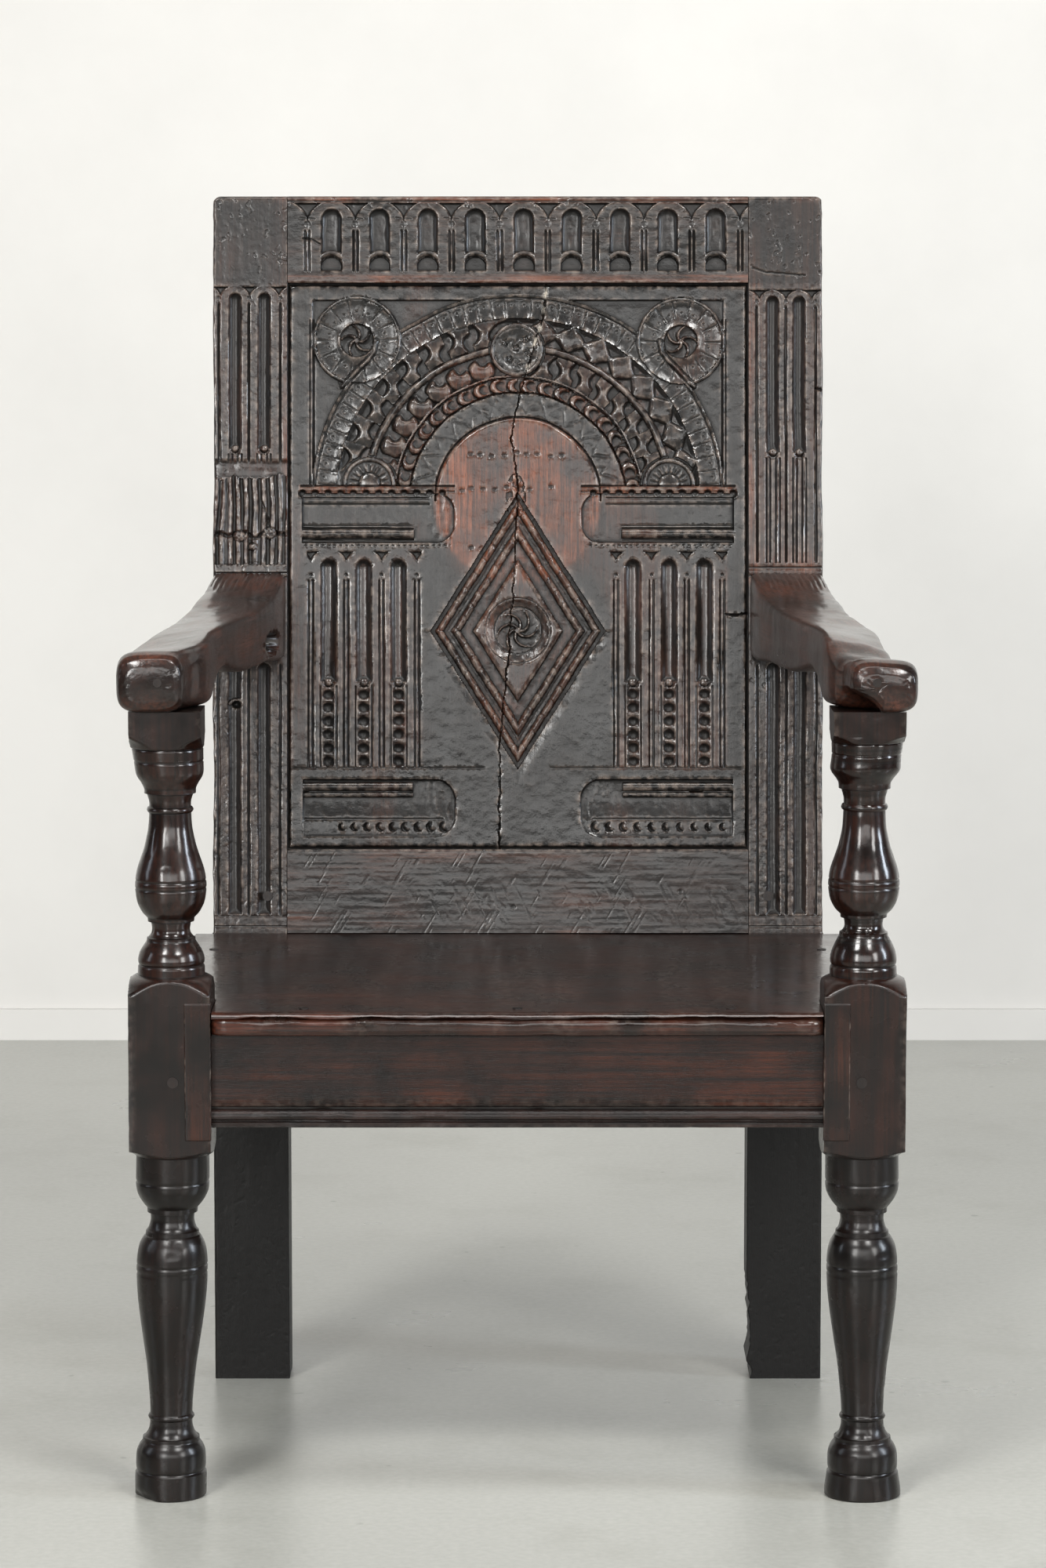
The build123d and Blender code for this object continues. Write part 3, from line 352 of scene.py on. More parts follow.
def inner_bands(u, v, away, foot_angle, height, worked):
    """The row of coins, the scratched zigzag and the edge of the dome."""
    coin_side = np.where(u < 0, 1.0, -1.0)
    coin = coin_row(foot_angle * coin_side * 6.6 + 0.3, away - 105.2)
    coin = coin + 0.125 * drift(u, v, 3.5, 3.5, 32)
    worked = np.where((away > ZIGZAG_OUT) & (away <= COINS_OUT), coin, worked)
    lines = gouge(away - 112.3, 0.9, 1.0) + gouge(away - ZIGZAG_OUT, 1.1, 1.9)
    worked = np.where(np.abs(away - 113.8) < 1.0, -0.6, worked)
    band = -1.7 + 0.25 * drift(u, v, 4, 4, 33)
    tooth = np.abs(((foot_angle * 4.3 + 0.15) % 1.0) * 2.0 - 1.0)
    zigzag = gouge(away - 79.5 - 16.0 * tooth, 2.6, 0.65, 1.0)
    zigzag = zigzag * (0.45 + 0.45 * drift(u, v, 7, 7, 34))
    worked = np.where((away > DOME) & (away <= ZIGZAG_OUT), band + zigzag, worked)
    worked = worked + lines + gouge(away - 76.3, 1.0, 1.6)
    return np.where(away <= DOME, height + arris(away - DOME, 3.5), worked)


def volutes(u, v, away, worked):
    """Volutes at either end of the arched strap, each in a raised rim and under a ridge."""
    for (x, z), side in zip(VOLUTES, (-1, 1)):
        radius = np.hypot(u - x, v - z)
        worked = np.where(radius < 38.8, volute(u, v, x, z, side), worked)
        rim = (np.abs(radius - 38.8) < 1.7) & ((v > z - 20.0) | (away > STRAP_OUT))
        bead = -1.6 + 1.4 * (1.0 - ((radius - 38.8) / 1.7) ** 2)
        worked = np.where(rim, np.maximum(bead, -1.6), worked)
        edge = run(side * u, v, [(160.5, 499.3), (152.6, 507.6), (144.7, 516.0), (137.5, 522.6),
                                 (131.4, 530.5), (129.4, 540.0)])
        ridge = -1.9 + 1.8 * (1.0 - unit(edge / 1.9) ** 2)
        worked = np.where(edge < 1.9, np.maximum(worked, ridge), worked)
        worked = worked + gouge(edge - 2.5, 0.9, 0.8)
    return worked


def crown_rosette(u, v, worked):
    """A dished rosette with punched petals at the crown of the arch."""
    x, z = ROSETTE
    radius = np.hypot(u - x, v - z)
    dish = -0.6 - 2.9 * (1.0 - unit(radius / 20.5) ** 2.2)
    dish = dish + 0.45 * drift(u, v, 2.6, 2.6, 35) * fading(radius, 14.0, 20.0)
    for spot_x, spot_z in ((-10.5, 6.5), (-6.5, -9.0), (1.5, -13.5), (10.0, -4.0), (8.0, 9.0), (-0.5, 1.5)):
        away_spot = np.hypot(u - x - spot_x, v - z - spot_z)
        petals = 1.0 + 0.3 * np.cos(5.0 * np.arctan2(v - z - spot_z, u - x - spot_x))
        dish = dish + gouge(away_spot - 2.6 * petals, 1.0, 0.8) + gouge(away_spot, 1.0, 0.9)
    rim = -0.1 - 1.2 * np.clip(np.abs(radius - 22.3) / 2.0, 0.0, 1.5) ** 2
    worked = np.where(radius < 20.5, dish, worked)
    worked = np.where(np.abs(radius - 22.3) < 2.1, rim, worked)
    return deepened(worked, radius - 25.2, 1.0)


def half_rosettes(u, v, worked):
    """Half rosettes that stand on the entablatures."""
    for x, z in HALF_ROSETTES:
        radius = np.hypot(u - x, v - z)
        turn = np.arctan2(v - z, u - x)
        petals = -2.3 + 0.6 * np.cos(turn * 18.0) * eased(radius, 9.0, 12.0) * fading(radius, 15.0, 19.0)
        rim = -0.3 - 1.3 * np.clip(np.abs(radius - 22.0) / 2.0, 0.0, 1.4) ** 2
        beads = 0.35 * np.cos(turn * 44.0) * eased(radius, 21.0, 23.0)
        boss = -0.3 - 1.3 * (radius / 9.0) ** 2
        half = np.where(radius < 20.2, petals, rim + np.minimum(beads, 0.0))
        half = np.where(radius < 9.3, boss, half)
        half = half + gouge(radius - 10.0, 0.9, 0.8)
        worked = np.where(radius < 24.4, half, worked)
        worked = deepened(worked, radius - 25.2, 0.9)
    return worked


def lunette(u, v, height):
    """Arched bands, straps, volutes and rosettes over the entablatures."""
    angle = np.arctan2(v - SPRING, u)
    foot_angle = np.where(angle > math.pi / 2, math.pi - angle, angle)
    away = np.hypot(u, v - SPRING) + 0.6 * drift(u, v, 22, 22, 31)
    worked = arched_strap(u, v, away, foot_angle, height)
    worked = leaf_bands(u, v, away, foot_angle, worked)
    worked = inner_bands(u, v, away, foot_angle, height, worked)
    worked = volutes(u, v, away, worked)
    worked = crown_rosette(u, v, worked)
    worked = half_rosettes(u, v, worked)
    dome = (away <= DOME) & (v > SPRING)
    return np.where((v > BEAD_TOP) | dome, worked, height)


# ---------------------------------------------------------------- fields, pilasters and lozenge
def entablature(u, v, height, side):
    """Sunk field under a nicked lip, with incised lines and a half-round roll."""
    x = side * u
    inner = 57.5
    outer = 197.4
    rolled = between(x, 95.0, 197.0)
    field = oblong(x, v, inner, outer + 30.0, 356.0, 402.2, 17.0)
    field = np.maximum(field, x - outer)
    rough = waved(u, v, (0.30, 5, 5, 41 + side), (0.25, 2.4, 9, 43))
    floor = -3.1 + rough * fading(x, 60.0, 90.0) + 0.1 * rough
    height = height + np.where(field < 0, floor * eased(-field, 0.0, 1.3), 0.0)
    ease_in = fading(x, 62.0, 86.0)
    height = height - 0.5 * ease_in * (field < -2.0) * drift(u, v, 8, 8, 45)
    lined = between(x, 80.4, 197.0)
    for z in (391.8, 397.4):
        height = np.where(lined, height + gouge(v - z, 0.8, 0.8), height)
    wavy = v - 364.6 - 0.25 * drift(u, v, 14, 60, 47)
    roll = -3.3 + 3.1 * half_round(wavy, 4.2)
    roll = roll - 0.25 * np.abs(drift(u, v, 5, 8, 48))
    height = np.where((np.abs(wavy) < 4.2) & rolled, roll, height)
    height = height + np.where(rolled, gouge(np.abs(wavy) - 5.0, 0.9, 0.9), 0.0)
    height = height + gouge(v - 372.0, 0.7, 0.5) * rolled
    # nicks under the lip
    pitch = 11.6
    beside = x - 69.0 - pitch * np.round((x - 69.0) / pitch)
    nick = np.hypot(beside, (v - 401.2) * 1.05)
    height = np.where(between(x, 66.0, 200.0), np.minimum(height, gouge(nick, 4.4, 4.4, 2.4)), height)
    lip = between(v, 402.0, BEAD_TOP) & between(x, inner, 199.0)
    height = np.where(lip, height - 0.9 * ((v - 405.3) / 3.2) ** 2, height)
    height = height + gouge(v - BEAD_TOP, 0.8, 1.2) * between(x, inner, 199.0)
    # small pricks along the line under the field
    prick = np.hypot((u % 5.3) - 2.6, (v - 353.6) * 1.3)
    return height + gouge(prick, 1.6, 0.8) * between(x, 62.0, 196.0)


def lower_field(u, v, height, side):
    """Sunk field at the foot of the panel: double roll, hollow chamfer and a row of C cuts."""
    x = side * u
    field = oblong(x, v, 56.5, 226.0, 88.0, 140.9, 19.0)
    field = np.maximum(field, x - 196.6)
    ramp = eased(v, 97.0, 124.0)
    rough = waved(u, v, (0.28, 3.0, 11, 51 + side), (0.2, 2, 2, 53))
    floor = -(0.8 + 2.7 * ramp) + rough * (0.4 + 0.6 * fading(x, 70.0, 95.0))
    height = height + np.where(field < 0, floor * eased(-field, 0.0, 1.4), 0.0)
    rolled = between(x, 95.4, 195.8)
    for z, half, rise in ((133.6, 3.9, 3.1), (126.2, 2.0, 1.5)):
        off = v - z - 0.2 * drift(u, v, 18, 60, 54)
        roll = -3.6 + rise * half_round(off, half)
        height = np.where((np.abs(off) < half) & rolled, roll, height)
    height = np.where(rolled, height + gouge(v - 129.2, 0.8, 0.9), height)
    height = height + gouge(v - 104.3, 0.8, 0.7) * between(x, 68.0, 195.0)
    count, first, pitch = (9, 67.5, 11.6) if side < 0 else (10, 71.0, 12.9)
    for number in range(count):
        spot = side * (first + pitch * number)
        size = 4.4 - 0.15 * number
        height = height + crescent(u, v, spot, 96.8, size + 0.8, 20.0, 2.9)
    return height


def pilaster(u, v, height, side):
    """Three stopped flutes under arched hoods, with thin paired grooves between."""
    places = (-172.6, -140.6, -108.9) if side < 0 else (105.1, 138.0, 170.3)
    pitch = 32.3
    first = places[1]
    zone = between(u, places[0] - 20.5, places[2] + 20.5)
    cut = hood(u, v, first, 333.5, 16.9, 348.6, pitch)
    height = np.where(zone, height + cut, height)
    sway = 0.35 * drift(u, v, 30, 60, 61)
    for place in places:
        x = place + sway
        height = fluted(height, slot(u, v, x, 229.0, 342.0, 15.8), 7.9, 4.9)
        # bud at the foot of the flute, then the scalloped stop
        bud = np.hypot(u - x, v - 228.5)
        height = np.where(bud < 4.0, -1.3 - 1.2 * (bud / 4.0) ** 2, height)
        height = height + gouge(bud - 4.6, 1.0, 1.0) * (v < 231.0)
        stop = oblong(u, v, x - 5.3, x + 5.3, 152.0, 226.0, 1.5)
        phase = ((v - 152.0) / 12.2 + 0.06 * drift(u, v, 40, 9, 62)) % 1.0
        pit = np.hypot((u - x) / 5.6, (phase - 0.42) * 12.2 / 5.0)
        lip = 0.5 * unit(1.0 - np.abs(phase - 0.93) / 0.10)
        scallop = lip - 0.7 - 3.4 * (1.0 - unit(pit) ** 2.2)
        height = np.where(stop < 0, height + scallop * eased(-stop, 0.0, 0.8), height)
        for line in (-7.3, 7.3):
            height = height + gouge(u - x - line, 0.8, 0.9) * between(v, 151.0, 226.0)
    for step in (-1.5, -0.5, 0.5, 1.5):
        middle = first + step * pitch
        for line in (-1.9, 1.9):
            wide = 1.25 if line > 0 else 0.9
            groove = gouge(u - middle - line - 0.7 * sway, wide, 1.5, 1.4)
            ends = eased(v, 150.5, 152.0) * fading(v, 321.5, 323.5)
            height = height + groove * ends
        height = height + gouge(np.hypot(u - middle, v - 327.0), 1.9, 1.1)
    return height + gouge(v - 151.0, 0.7, 0.5) * between(np.abs(u), 29.0, 206.0)


# half width, half height and height of the middle of the lozenge
LOZENGE = (80.0, 126.0, 275.8)


def lozenge_part(u, v):
    """1 in the middle of the lozenge, 0 on its outline and less outside."""
    half_width, half_height, centre = LOZENGE
    return 1.0 - np.abs(u) / half_width - np.abs(v - centre) / half_height


def lozenge(u, v, height):
    """Nested lozenges of twisted beads round a flat one with a whirling roundel."""
    half_width, half_height, centre = LOZENGE
    reach = half_width * half_height / math.hypot(half_width, half_height)
    inside = lozenge_part(u, v) * reach
    inside = inside + 0.35 * drift(u, v, 12, 12, 71)
    ground = -4.2 + 0.3 * drift(u, v, 4, 4, 72)
    worked = height - 1.5 * eased(inside, -8.0, 0.0) * (v < centre) * (0.6 + 0.4 * drift(u, v, 9, 9, 73))
    worked = np.where(inside > 0, ground, worked)
    along = np.abs(v - centre) * 1.19
    for low, high, pitch, seed in ((3.6, 10.4, 15.5, 74), (16.2, 23.2, 14.0, 75)):
        middle, half = (low + high) / 2, (high - low) / 2
        across = (inside - middle) / half
        bead = -0.1 - 3.2 * unit(np.abs(across)) ** 2.4
        twist = (along + 3.5 * across + 2.0 * drift(u, v, 30, 30, seed)) / pitch
        nick = gouge((twist - np.round(twist)) * pitch, 1.5, 0.9, 1.2)
        worked = np.where(np.abs(across) < 1, np.maximum(bead + nick, ground), worked)
    worked = worked + gouge(inside - 13.4, 1.0, 0.5)
    flat = inside > 32.6
    worked = np.where(flat, -0.2 + arris(32.6 - inside, 5.0) * 0.5, worked)
    worked = deepened(worked, inside - 32.0, 1.2)
    # roundel
    radius = np.hypot(u, v - 276.2)
    turn = np.arctan2(v - 276.2, u)
    _, arm_off = whirl_arm(turn - 0.085 * radius + 0.4, radius, 6.0)
    spokes = 2.6 * (1.0 - eased(arm_off, 0.4, 2.2)) * fading(radius, 15.0, 20.0)
    dish = -3.7 + 3.5 * unit(radius / 29.0) ** 5 + spokes
    dish = np.where(radius < 2.6, -0.9, dish + 0.2 * drift(u, v, 3, 3, 76))
    worked = np.where(radius < 29.0, dish, worked)
    worked = worked + gouge(radius - 21.5, 0.9, 0.6) + gouge(radius - 29.6, 0.8, 0.7)
    return np.where(inside > -9.0, worked, height)


# the old split of the panel, from its head down
CRACK = ((26.2, 593.0), (22.0, 560.0), (10.5, 520.0), (3.0, 495.0), (-3.9, 468.6), (-6.5, 452.0),
         (-3.9, 440.0), (-0.3, 404.0), (-3.9, 322.0), (-8.9, 250.5), (-16.7, 165.0), (-16.7, 79.0))


def crack_line(u, v):
    """Distance from the old split that wanders down the panel."""
    places, heights = zip(*reversed(CRACK))
    path = np.interp(v, heights, places)
    path = path + 0.9 * ripple(v, 7.0, 81) + 0.5 * ripple(v, 2.6, 82)
    return u - path


def panel_relief(u, v):
    """Depth of the carving over the whole face of the panel."""
    waves = ((0.28, 70, 110, 1), (0.12, 11, 45, 2), (0.13, 13, 8, 3), (0.07, 5, 4.5, 4))
    height = lozenge(u, v, -0.5 + waved(u, v, *waves))
    height = lunette(u, v, height)
    for side in (-1, 1):
        here = side * u > 0
        for carved in (entablature, lower_field, pilaster):
            height = np.where(here, carved(u, v, height, side), height)
        for x in (186.2, 189.6):
            height = height + gouge(side * u - x, 0.8, 1.0) * between(v, 409.0, 560.0)
    # pricked rows over the dome and on the ground below it
    rng = np.random.default_rng(5)
    for row, first, last in ((437.0, -44.0, 46.0), (406.0, -52.0, 40.0), (352.0, -44.0, -8.0)):
        for x in np.arange(first, last, 10.4):
            if rng.random() < 0.16:
                continue
            spot = np.hypot((u - x - rng.uniform(-1.2, 1.2)) / 3.2,
                            (v - row - rng.uniform(-2.0, 2.0)) / 2.5)
            height = height - 0.55 * eased(1.0 - spot, 0.0, 0.35)
    # the split, open at its head
    split = crack_line(u, v)
    width = 0.55 + 0.45 * eased(v, 500.0, 590.0) + 0.45 * ripple(v, 9.0, 83)
    height = height + gouge(split, np.maximum(width, 0.45), 3.0, 1.3)
    shoulder = 0.3 * np.exp(-(split / 2.5) ** 2)
    torn = (np.hypot(u + 2.0, (v - 398.0) / 2.4) < 9.0) * eased(drift(u, v, 3.2, 5.0, 84), -0.1, 0.3)
    height = height - shoulder - 1.3 * torn
    # the panel's own edges dip into the grooves of the frame
    reach = np.minimum(STILE_INNER - np.abs(u), np.minimum(v - LOWER_RAIL_HEAD, CREST_FOOT - v))
    height = height - 2.6 * fading(reach, 0.6, 3.6)
    # a short check at the right edge of the panel
    check = run(u, v, [(190.0, 291.0), (199.0, 290.0), (209.0, 292.0)])
    return np.minimum(height + gouge(check, 1.3, 2.2), 0.0)


def panel_tones(u, v):
    """Red heartwood that shows through the patina of the panel, from 0 to 1."""
    away = np.hypot(u, v - SPRING)
    cloud = cloudy(u, v, 26, 60, 6)
    dome = fading(away, 73.0, 79.0) * (0.55 + 0.45 * cloud)
    skirt = eased(-np.hypot(u / 62.0, (v - 375.0) / 62.0), -1.25, -0.6) * (0.35 + 0.65 * cloud)
    beads = eased(lozenge_part(u, v), -0.02, 0.05) * (0.12 + 0.42 * cloud)
    coins = between(away, 99.0, 112.0)
    leaves = between(away, 112.0, 166.0)
    claws = 0.26 * (away < 138.0) * (u < 0.0)
    arched = (v > SPRING) * (coins * 0.5 + leaves * (0.14 + claws)) * fading(np.abs(u), 30.0, 170.0)
    arched = arched * eased(np.hypot(u - ROSETTE[0], v - ROSETTE[1]), 20.0, 26.0)
    lips = (between(v, 401.0, 409.0) & between(np.abs(u), 56.0, 200.0)) * 0.6
    columns = (between(v, 150.0, 345.0) & between(np.abs(u), 90.0, 192.0)) * 0.30 * cloud
    stray = 0.22 * eased(drift(u, v, 30, 90, 7), 0.2, 0.9)
    return np.maximum.reduce([dome, skirt * 0.9, beads, arched, lips, columns, stray])


# ---------------------------------------------------------------- crest rail and lower rail
def crest_relief(u, v):
    """Nine arched niches with low arches at their feet, hoods and paired grooves."""
    pitch = 43.85
    height = -0.4 + waved(u, v, (0.25, 50, 30, 101), (0.10, 30, 5, 102))
    sway = 0.5 * drift(u, v, 45, 30, 103)
    x = u - 5.4 + sway
    beside = x - pitch * np.round(x / pitch)
    height = height + hood(u + sway, v, 5.4, 645.8, 22.0, 666.8, pitch) * 1.15
    outside = np.maximum(np.abs(u - 5.4) - 4.5 * pitch, 0.0)
    niche = slot(beside, v, 0.0, 604.0, 661.4, 19.3) + outside
    height = fluted(height - 0.25 * drift(u, v, 3, 9, 104) * (niche < 0), niche, 9.65, 4.6, 4.0)
    foot = np.hypot(beside / 1.05, (v - 608.5)) + outside
    bridge = np.maximum(height, -3.4 + 3.3 * half_round(foot - 12.3, 2.5))
    height = np.where((foot < 14.7) & (v > 609.0) & (niche < 0), bridge, height)
    small = np.maximum(foot - 10.0, 604.0 - v)
    bowl = -1.0 - 4.0 * eased(-small, 0.0, 1.8)
    height = np.where((small < 0) & (np.abs(beside) < 9.6), np.minimum(height, bowl), height)
    near = x - pitch * (np.floor(x / pitch) + 0.5)
    for line in (-1.9, 1.9):
        ends = eased(v, 602.5, 605.0) * fading(v, 640.0, 642.5)
        height = height + gouge(near - line, 1.35, 1.7, 1.6) * ends
    pricked = 0.5 + 0.5 * np.abs(drift(u, v, 60, 60, 105))
    height = height + gouge(np.hypot(near, v - 647.0), 3.4, 1.0) * pricked
    height = height + gouge(run(near, v, [(-7.0, 652.5), (7.0, 651.5)]), 0.9, 0.5)
    height = height + gouge(v - 667.6, 1.0, 0.7)
    height = height - 0.6 * dented(u, v, 4.0, 106) * eased(v, 655.0, 668.0)
    wear = 1.6 + 1.0 * ripple(u, 28, 107)
    height = height + arris(v - BACK_TOP, 3.4) + arris(CREST_FOOT - v, wear)
    split = run(u, v, [(-196.0, 634.0), (-188.0, 633.0), (-181.0, 629.0)])
    return np.minimum(height + gouge(split, 1.1, 1.2), 0.0)


def crest_tones(u, v):
    """Worn red edges along the top and the foot of the crest."""
    cloud = cloudy(u, v, 40, 12, 108)
    top = eased(v, 664.0, 669.0) * (0.25 + 0.75 * cloud)
    foot = fading(v, 598.5, 602.5) * (0.3 + 0.7 * cloud)
    return np.maximum.reduce([top * 0.9, foot * 0.7, 0.08 * cloud])


def lower_rail_relief(u, v):
    """Plain rail with plane chatter, dents and short slanting chisel strokes."""
    height = -0.5 + 0.3 * drift(u, v, 90, 40, 121) + 0.12 * drift(u + v, v, 16, 7, 122)
    height = height + 0.10 * drift(u, v, 30, 2.5, 123)
    lean = u * 0.9 + v * 0.45
    chatter = drift(lean, v, 3.4, 12, 124)
    zone = fading(np.abs(v - 27.0), 10.0, 22.0) * eased(u, -120.0, -60.0)
    height = height - 0.26 * eased(chatter, 0.1, 0.8) * zone
    scores = drift(u - 0.6 * v, v, 2.2, 16, 125)
    height = height - 0.22 * eased(scores, 0.6, 0.9) * fading(u, 120.0, 205.0)
    height = height + arris(v - LOWER_RAIL_HEAD, 2.2)
    pegs = np.minimum(np.hypot(u + 4.0, v - 24.0), np.hypot(u - 148.0, v - 38.0))
    return np.minimum(height + gouge(pegs, 2.6, 0.7), 0.0)


def lower_rail_tones(u, v):
    """Faint red along the rail."""
    return 0.05 + 0.20 * eased(drift(u, v, 60, 14, 126), 0.0, 0.9)


# ---------------------------------------------------------------- stiles
# middles of the flutes and of the thin grooves, by side
FLUTES = {-1: (-258.1, -231.4), 1: (256.6, 232.4)}
THIN_GROOVES = {-1: (-273.2, -245.4, -216.6), 1: (272.0, 244.4, 218.0)}
# heads of the flutes, their feet, and the head of the plain band, by side
FLUTE_HEAD = {-1: 584.6, 1: 581.6}
FLUTE_FOOT = {-1: 441.5, 1: 438.0}
BAND_HEAD = {-1: 335.5, 1: 338.0}


def stile_flutes(side, u, v, sway, height):
    """Flutes over a reeded band, with thin grooves beside them."""
    head, bud_line = FLUTE_HEAD[side], FLUTE_FOOT[side]
    reeded = between(v, BAND_HEAD[side], bud_line - 4.0)
    for place in FLUTES[side]:
        x = place + sway
        for foot, top, depth in ((bud_line, head, 4.6), (16.8, 246.9, 4.2)):
            height = fluted(height, slot(u, v, x, foot, top, 12.6), 6.3, depth)
        bud = np.hypot(u - x, v - bud_line)
        height = np.where(bud < 3.8, -0.8 - 1.4 * (bud / 3.8) ** 2, height)
        height = height + crescent(u, v, x, bud_line - 1.0, 5.2, 90.0, 1.8)
        for line in (-6.0, -2.6, 2.6, 6.0):
            height = height + gouge(u - x - line, 1.1, 1.4, 1.5) * reeded
    for place in THIN_GROOVES[side]:
        groove = gouge(u - place - 0.8 * sway, 1.5, 1.9, 1.5) * between(v, 0.0, head + 12.0)
        ends = eased(v, 336.0, 340.0) * fading(v, head - 12.0, head - 8.0)
        below = eased(v, 15.0, 18.0) * fading(v, 243.0, 247.0)
        height = height + groove * np.maximum(ends, 0.8 * below)
        height = height + gouge(np.hypot(u - place, v - head + 5.0), 2.2, 0.9)
    return height


def nick_and_scar(u, v, height):
    """A nick in the edge of the right stile and a scar under its top."""
    nick = run(u, v, [(272.0, 497.0), (279.0, 495.0)])
    scar = run(u, v, [(214.0, 607.0), (226.0, 603.0), (262.0, 600.0)])
    return height + gouge(nick, 1.6, 2.4) + gouge(scar, 1.3, 1.0, 1.2)


def knot_and_hole(u, v, height):
    """A knot in the left stile, and a hole where another has fallen out."""
    knot = np.hypot((u + 240.0) / 1.6, v - 331.0)
    hole = np.hypot(u + 256.0, (v - 208.0) * 1.25)
    height = height + gouge(knot - 7.0, 0.9, 0.3) + gouge(hole, 4.6, 3.2, 2.4)
    brow = (np.abs(hole - 6.3) < 1.5) & (v > 208.0)
    return np.where(brow, np.maximum(height, -0.5), height)


def stile_relief(side):
    """Depth of the carving on a rear stile, as a function of its chart."""
    flutes = FLUTES[side]
    head = FLUTE_HEAD[side]

    def relief(u, v):
        seed = 140 + 30 * side
        height = -0.4 + waved(u, v, (0.25, 24, 80, seed), (0.12, 5, 38, seed + 1))
        pitch = abs(flutes[0] - flutes[1])
        cut = hood(u, v, flutes[0], head - 8.0, pitch / 2 + 0.5, head + 5.6, pitch)
        height = np.where(v > head - 10.0, height + cut, height)
        sway = 0.5 * drift(u, v, 40, 70, seed + 2)
        height = stile_flutes(side, u, v, sway, height)
        for z in (324.5, 328.5) if side < 0 else (326.0, 333.5):
            height = height + gouge(v - z, 1.1, 0.9) * between(v, 247.5, BAND_HEAD[side])
        height = height + gouge(v - 6.5, 0.9, 0.7) + gouge(v - 15.5, 0.7, 0.5)
        height = old_break(u, v, height) if side < 0 else nick_and_scar(u, v, height)
        dents = dented(u, v, 2.6, seed + 3) * (0.3 + 0.7 * eased(v, 594.0, 600.0))
        height = height - 0.45 * dents
        if side < 0:
            height = knot_and_hole(u, v, height)
        # worn edges
        ragged = 2.1 + 0.9 * ripple(v, 11.0, seed + 4)
        height = height + arris(side * u - STILE_OUTER, ragged)
        height = height + arris(STILE_INNER - side * u, 0.9) + arris(v - BACK_TOP, 3.2)
        return np.minimum(height, 0.0)

    return relief


def old_break(u, v, height):
    """Rough band on the left stile: pared blank, split reeds, knots and a torn cross line."""
    blank = eased(v, 413.0, 417.0) * fading(v, 428.0, 433.0)
    height = height * (1.0 - blank) + blank * (-2.2 + 0.5 * drift(u, v, 9, 6, 151))
    ragged = 415.5 + 4.0 * ripple(u, 7.0, 152)
    reeds = between(v, 336.0, ragged)
    wander = u + 0.7 * drift(u * 0.0, v, 1.0, 26.0, 153) + 1.6 * drift(u, v, 13, 60, 158)
    comb = np.abs(((wander + 280.0) / 7.4) % 1.0 - 0.5) * 2.0
    cut = eased(comb, 0.25, 0.85) * (0.7 + 0.3 * drift(u, v, 7, 40, 159))
    height = np.where(reeds, -0.4 - 3.2 * cut + 0.35 * drift(u, v, 3, 8, 154), height)
    torn = np.abs(v - 363.5 - 3.5 * ripple(u, 8.0, 155))
    height = height + gouge(torn, 2.6, 2.4, 1.3) * (u > -277.0)
    for x, z, radius in ((-254.0, 362.0, 6.0), (-226.5, 364.5, 6.4), (-242.0, 352.0, 4.0)):
        away = np.hypot(u - x, (v - z) * 1.2)
        lump = -0.3 - 1.6 * (away / radius) ** 2 + 0.7 * drift(u, v, 2.0, 2.0, 156)
        height = np.where(away < radius, np.maximum(height, lump), height)
        height = height + gouge(away - radius, 1.0, 0.6)
    slash = run(u, v, [(-233.0, 393.0), (-226.0, 371.0)])
    return height + gouge(slash, 1.1, 1.2)


def stile_tones(side):
    """Red wear down the inner edge and the foot of the carving of a stile."""
    def tones(u, v):
        cloud = cloudy(u, v, 9, 55, 160 + side)
        inner = eased(-side * u, -221.0, -211.0) * eased(v, 320.0, 400.0) * fading(v, 560.0, 590.0)
        foot = eased(v, 325.0, 332.0) * fading(v, 338.0, 372.0) * (1.0 if side > 0 else 0.4)
        top = eased(v, 662.0, 670.0)
        seam = fading(np.abs(v - 321.0), 1.0, 5.0)
        return np.maximum.reduce([0.75 * inner * cloud, 0.6 * foot * cloud, 0.7 * top * cloud,
                                  0.8 * seam, 0.26 * cloud * (v > 320.0), 0.08 + 0.0 * u])
    return tones


# ---------------------------------------------------------------- meshes
def lean(u, w, v):
    """Places in the raked back, in millimetres."""
    return np.stack([u, STILE_FRONT + w * math.cos(RAKE) + v * math.sin(RAKE),
                     SEAT - w * math.sin(RAKE) + v * math.cos(RAKE)], axis=-1)


def unlean(places):
    """Chart places (u, w, v) of points in the raked back or in the legs under it."""
    across, y, z = places[:, 0], places[:, 1] - STILE_FRONT, places[:, 2] - SEAT
    w = y * math.cos(RAKE) - z * math.sin(RAKE)
    v = y * math.sin(RAKE) + z * math.cos(RAKE)
    leg = v < w * math.tan(RAKE / 2)
    return across, np.where(leg, y, w), np.where(leg, z, v)


def along_stile(u, w, v):
    """Places in a stile, upright below the seat and raked above it."""
    knee = w * math.tan(RAKE / 2)
    leg = np.stack([u, STILE_FRONT + w, (SEAT + v) * (1.0 - knee / SEAT)], axis=-1)
    upper = lean(u, w, knee + v * (BACK_TOP - knee) / BACK_TOP)
    return np.where((v < 0)[..., None], leg, upper)


def softened(chart, cells):
    """A chart blurred over a number of cells each way."""
    for axis in (0, 1):
        for _ in range(2):
            size = 2 * cells + 1
            edges = [(0, 0), (0, 0)]
            edges[axis] = (cells + 1, cells)
            total = np.cumsum(np.pad(chart, edges, mode="edge"), axis=axis)
            high = np.take(total, np.arange(size, total.shape[axis]), axis=axis)
            low = np.take(total, np.arange(0, total.shape[axis] - size), axis=axis)
            chart = (high - low) / size
    return chart


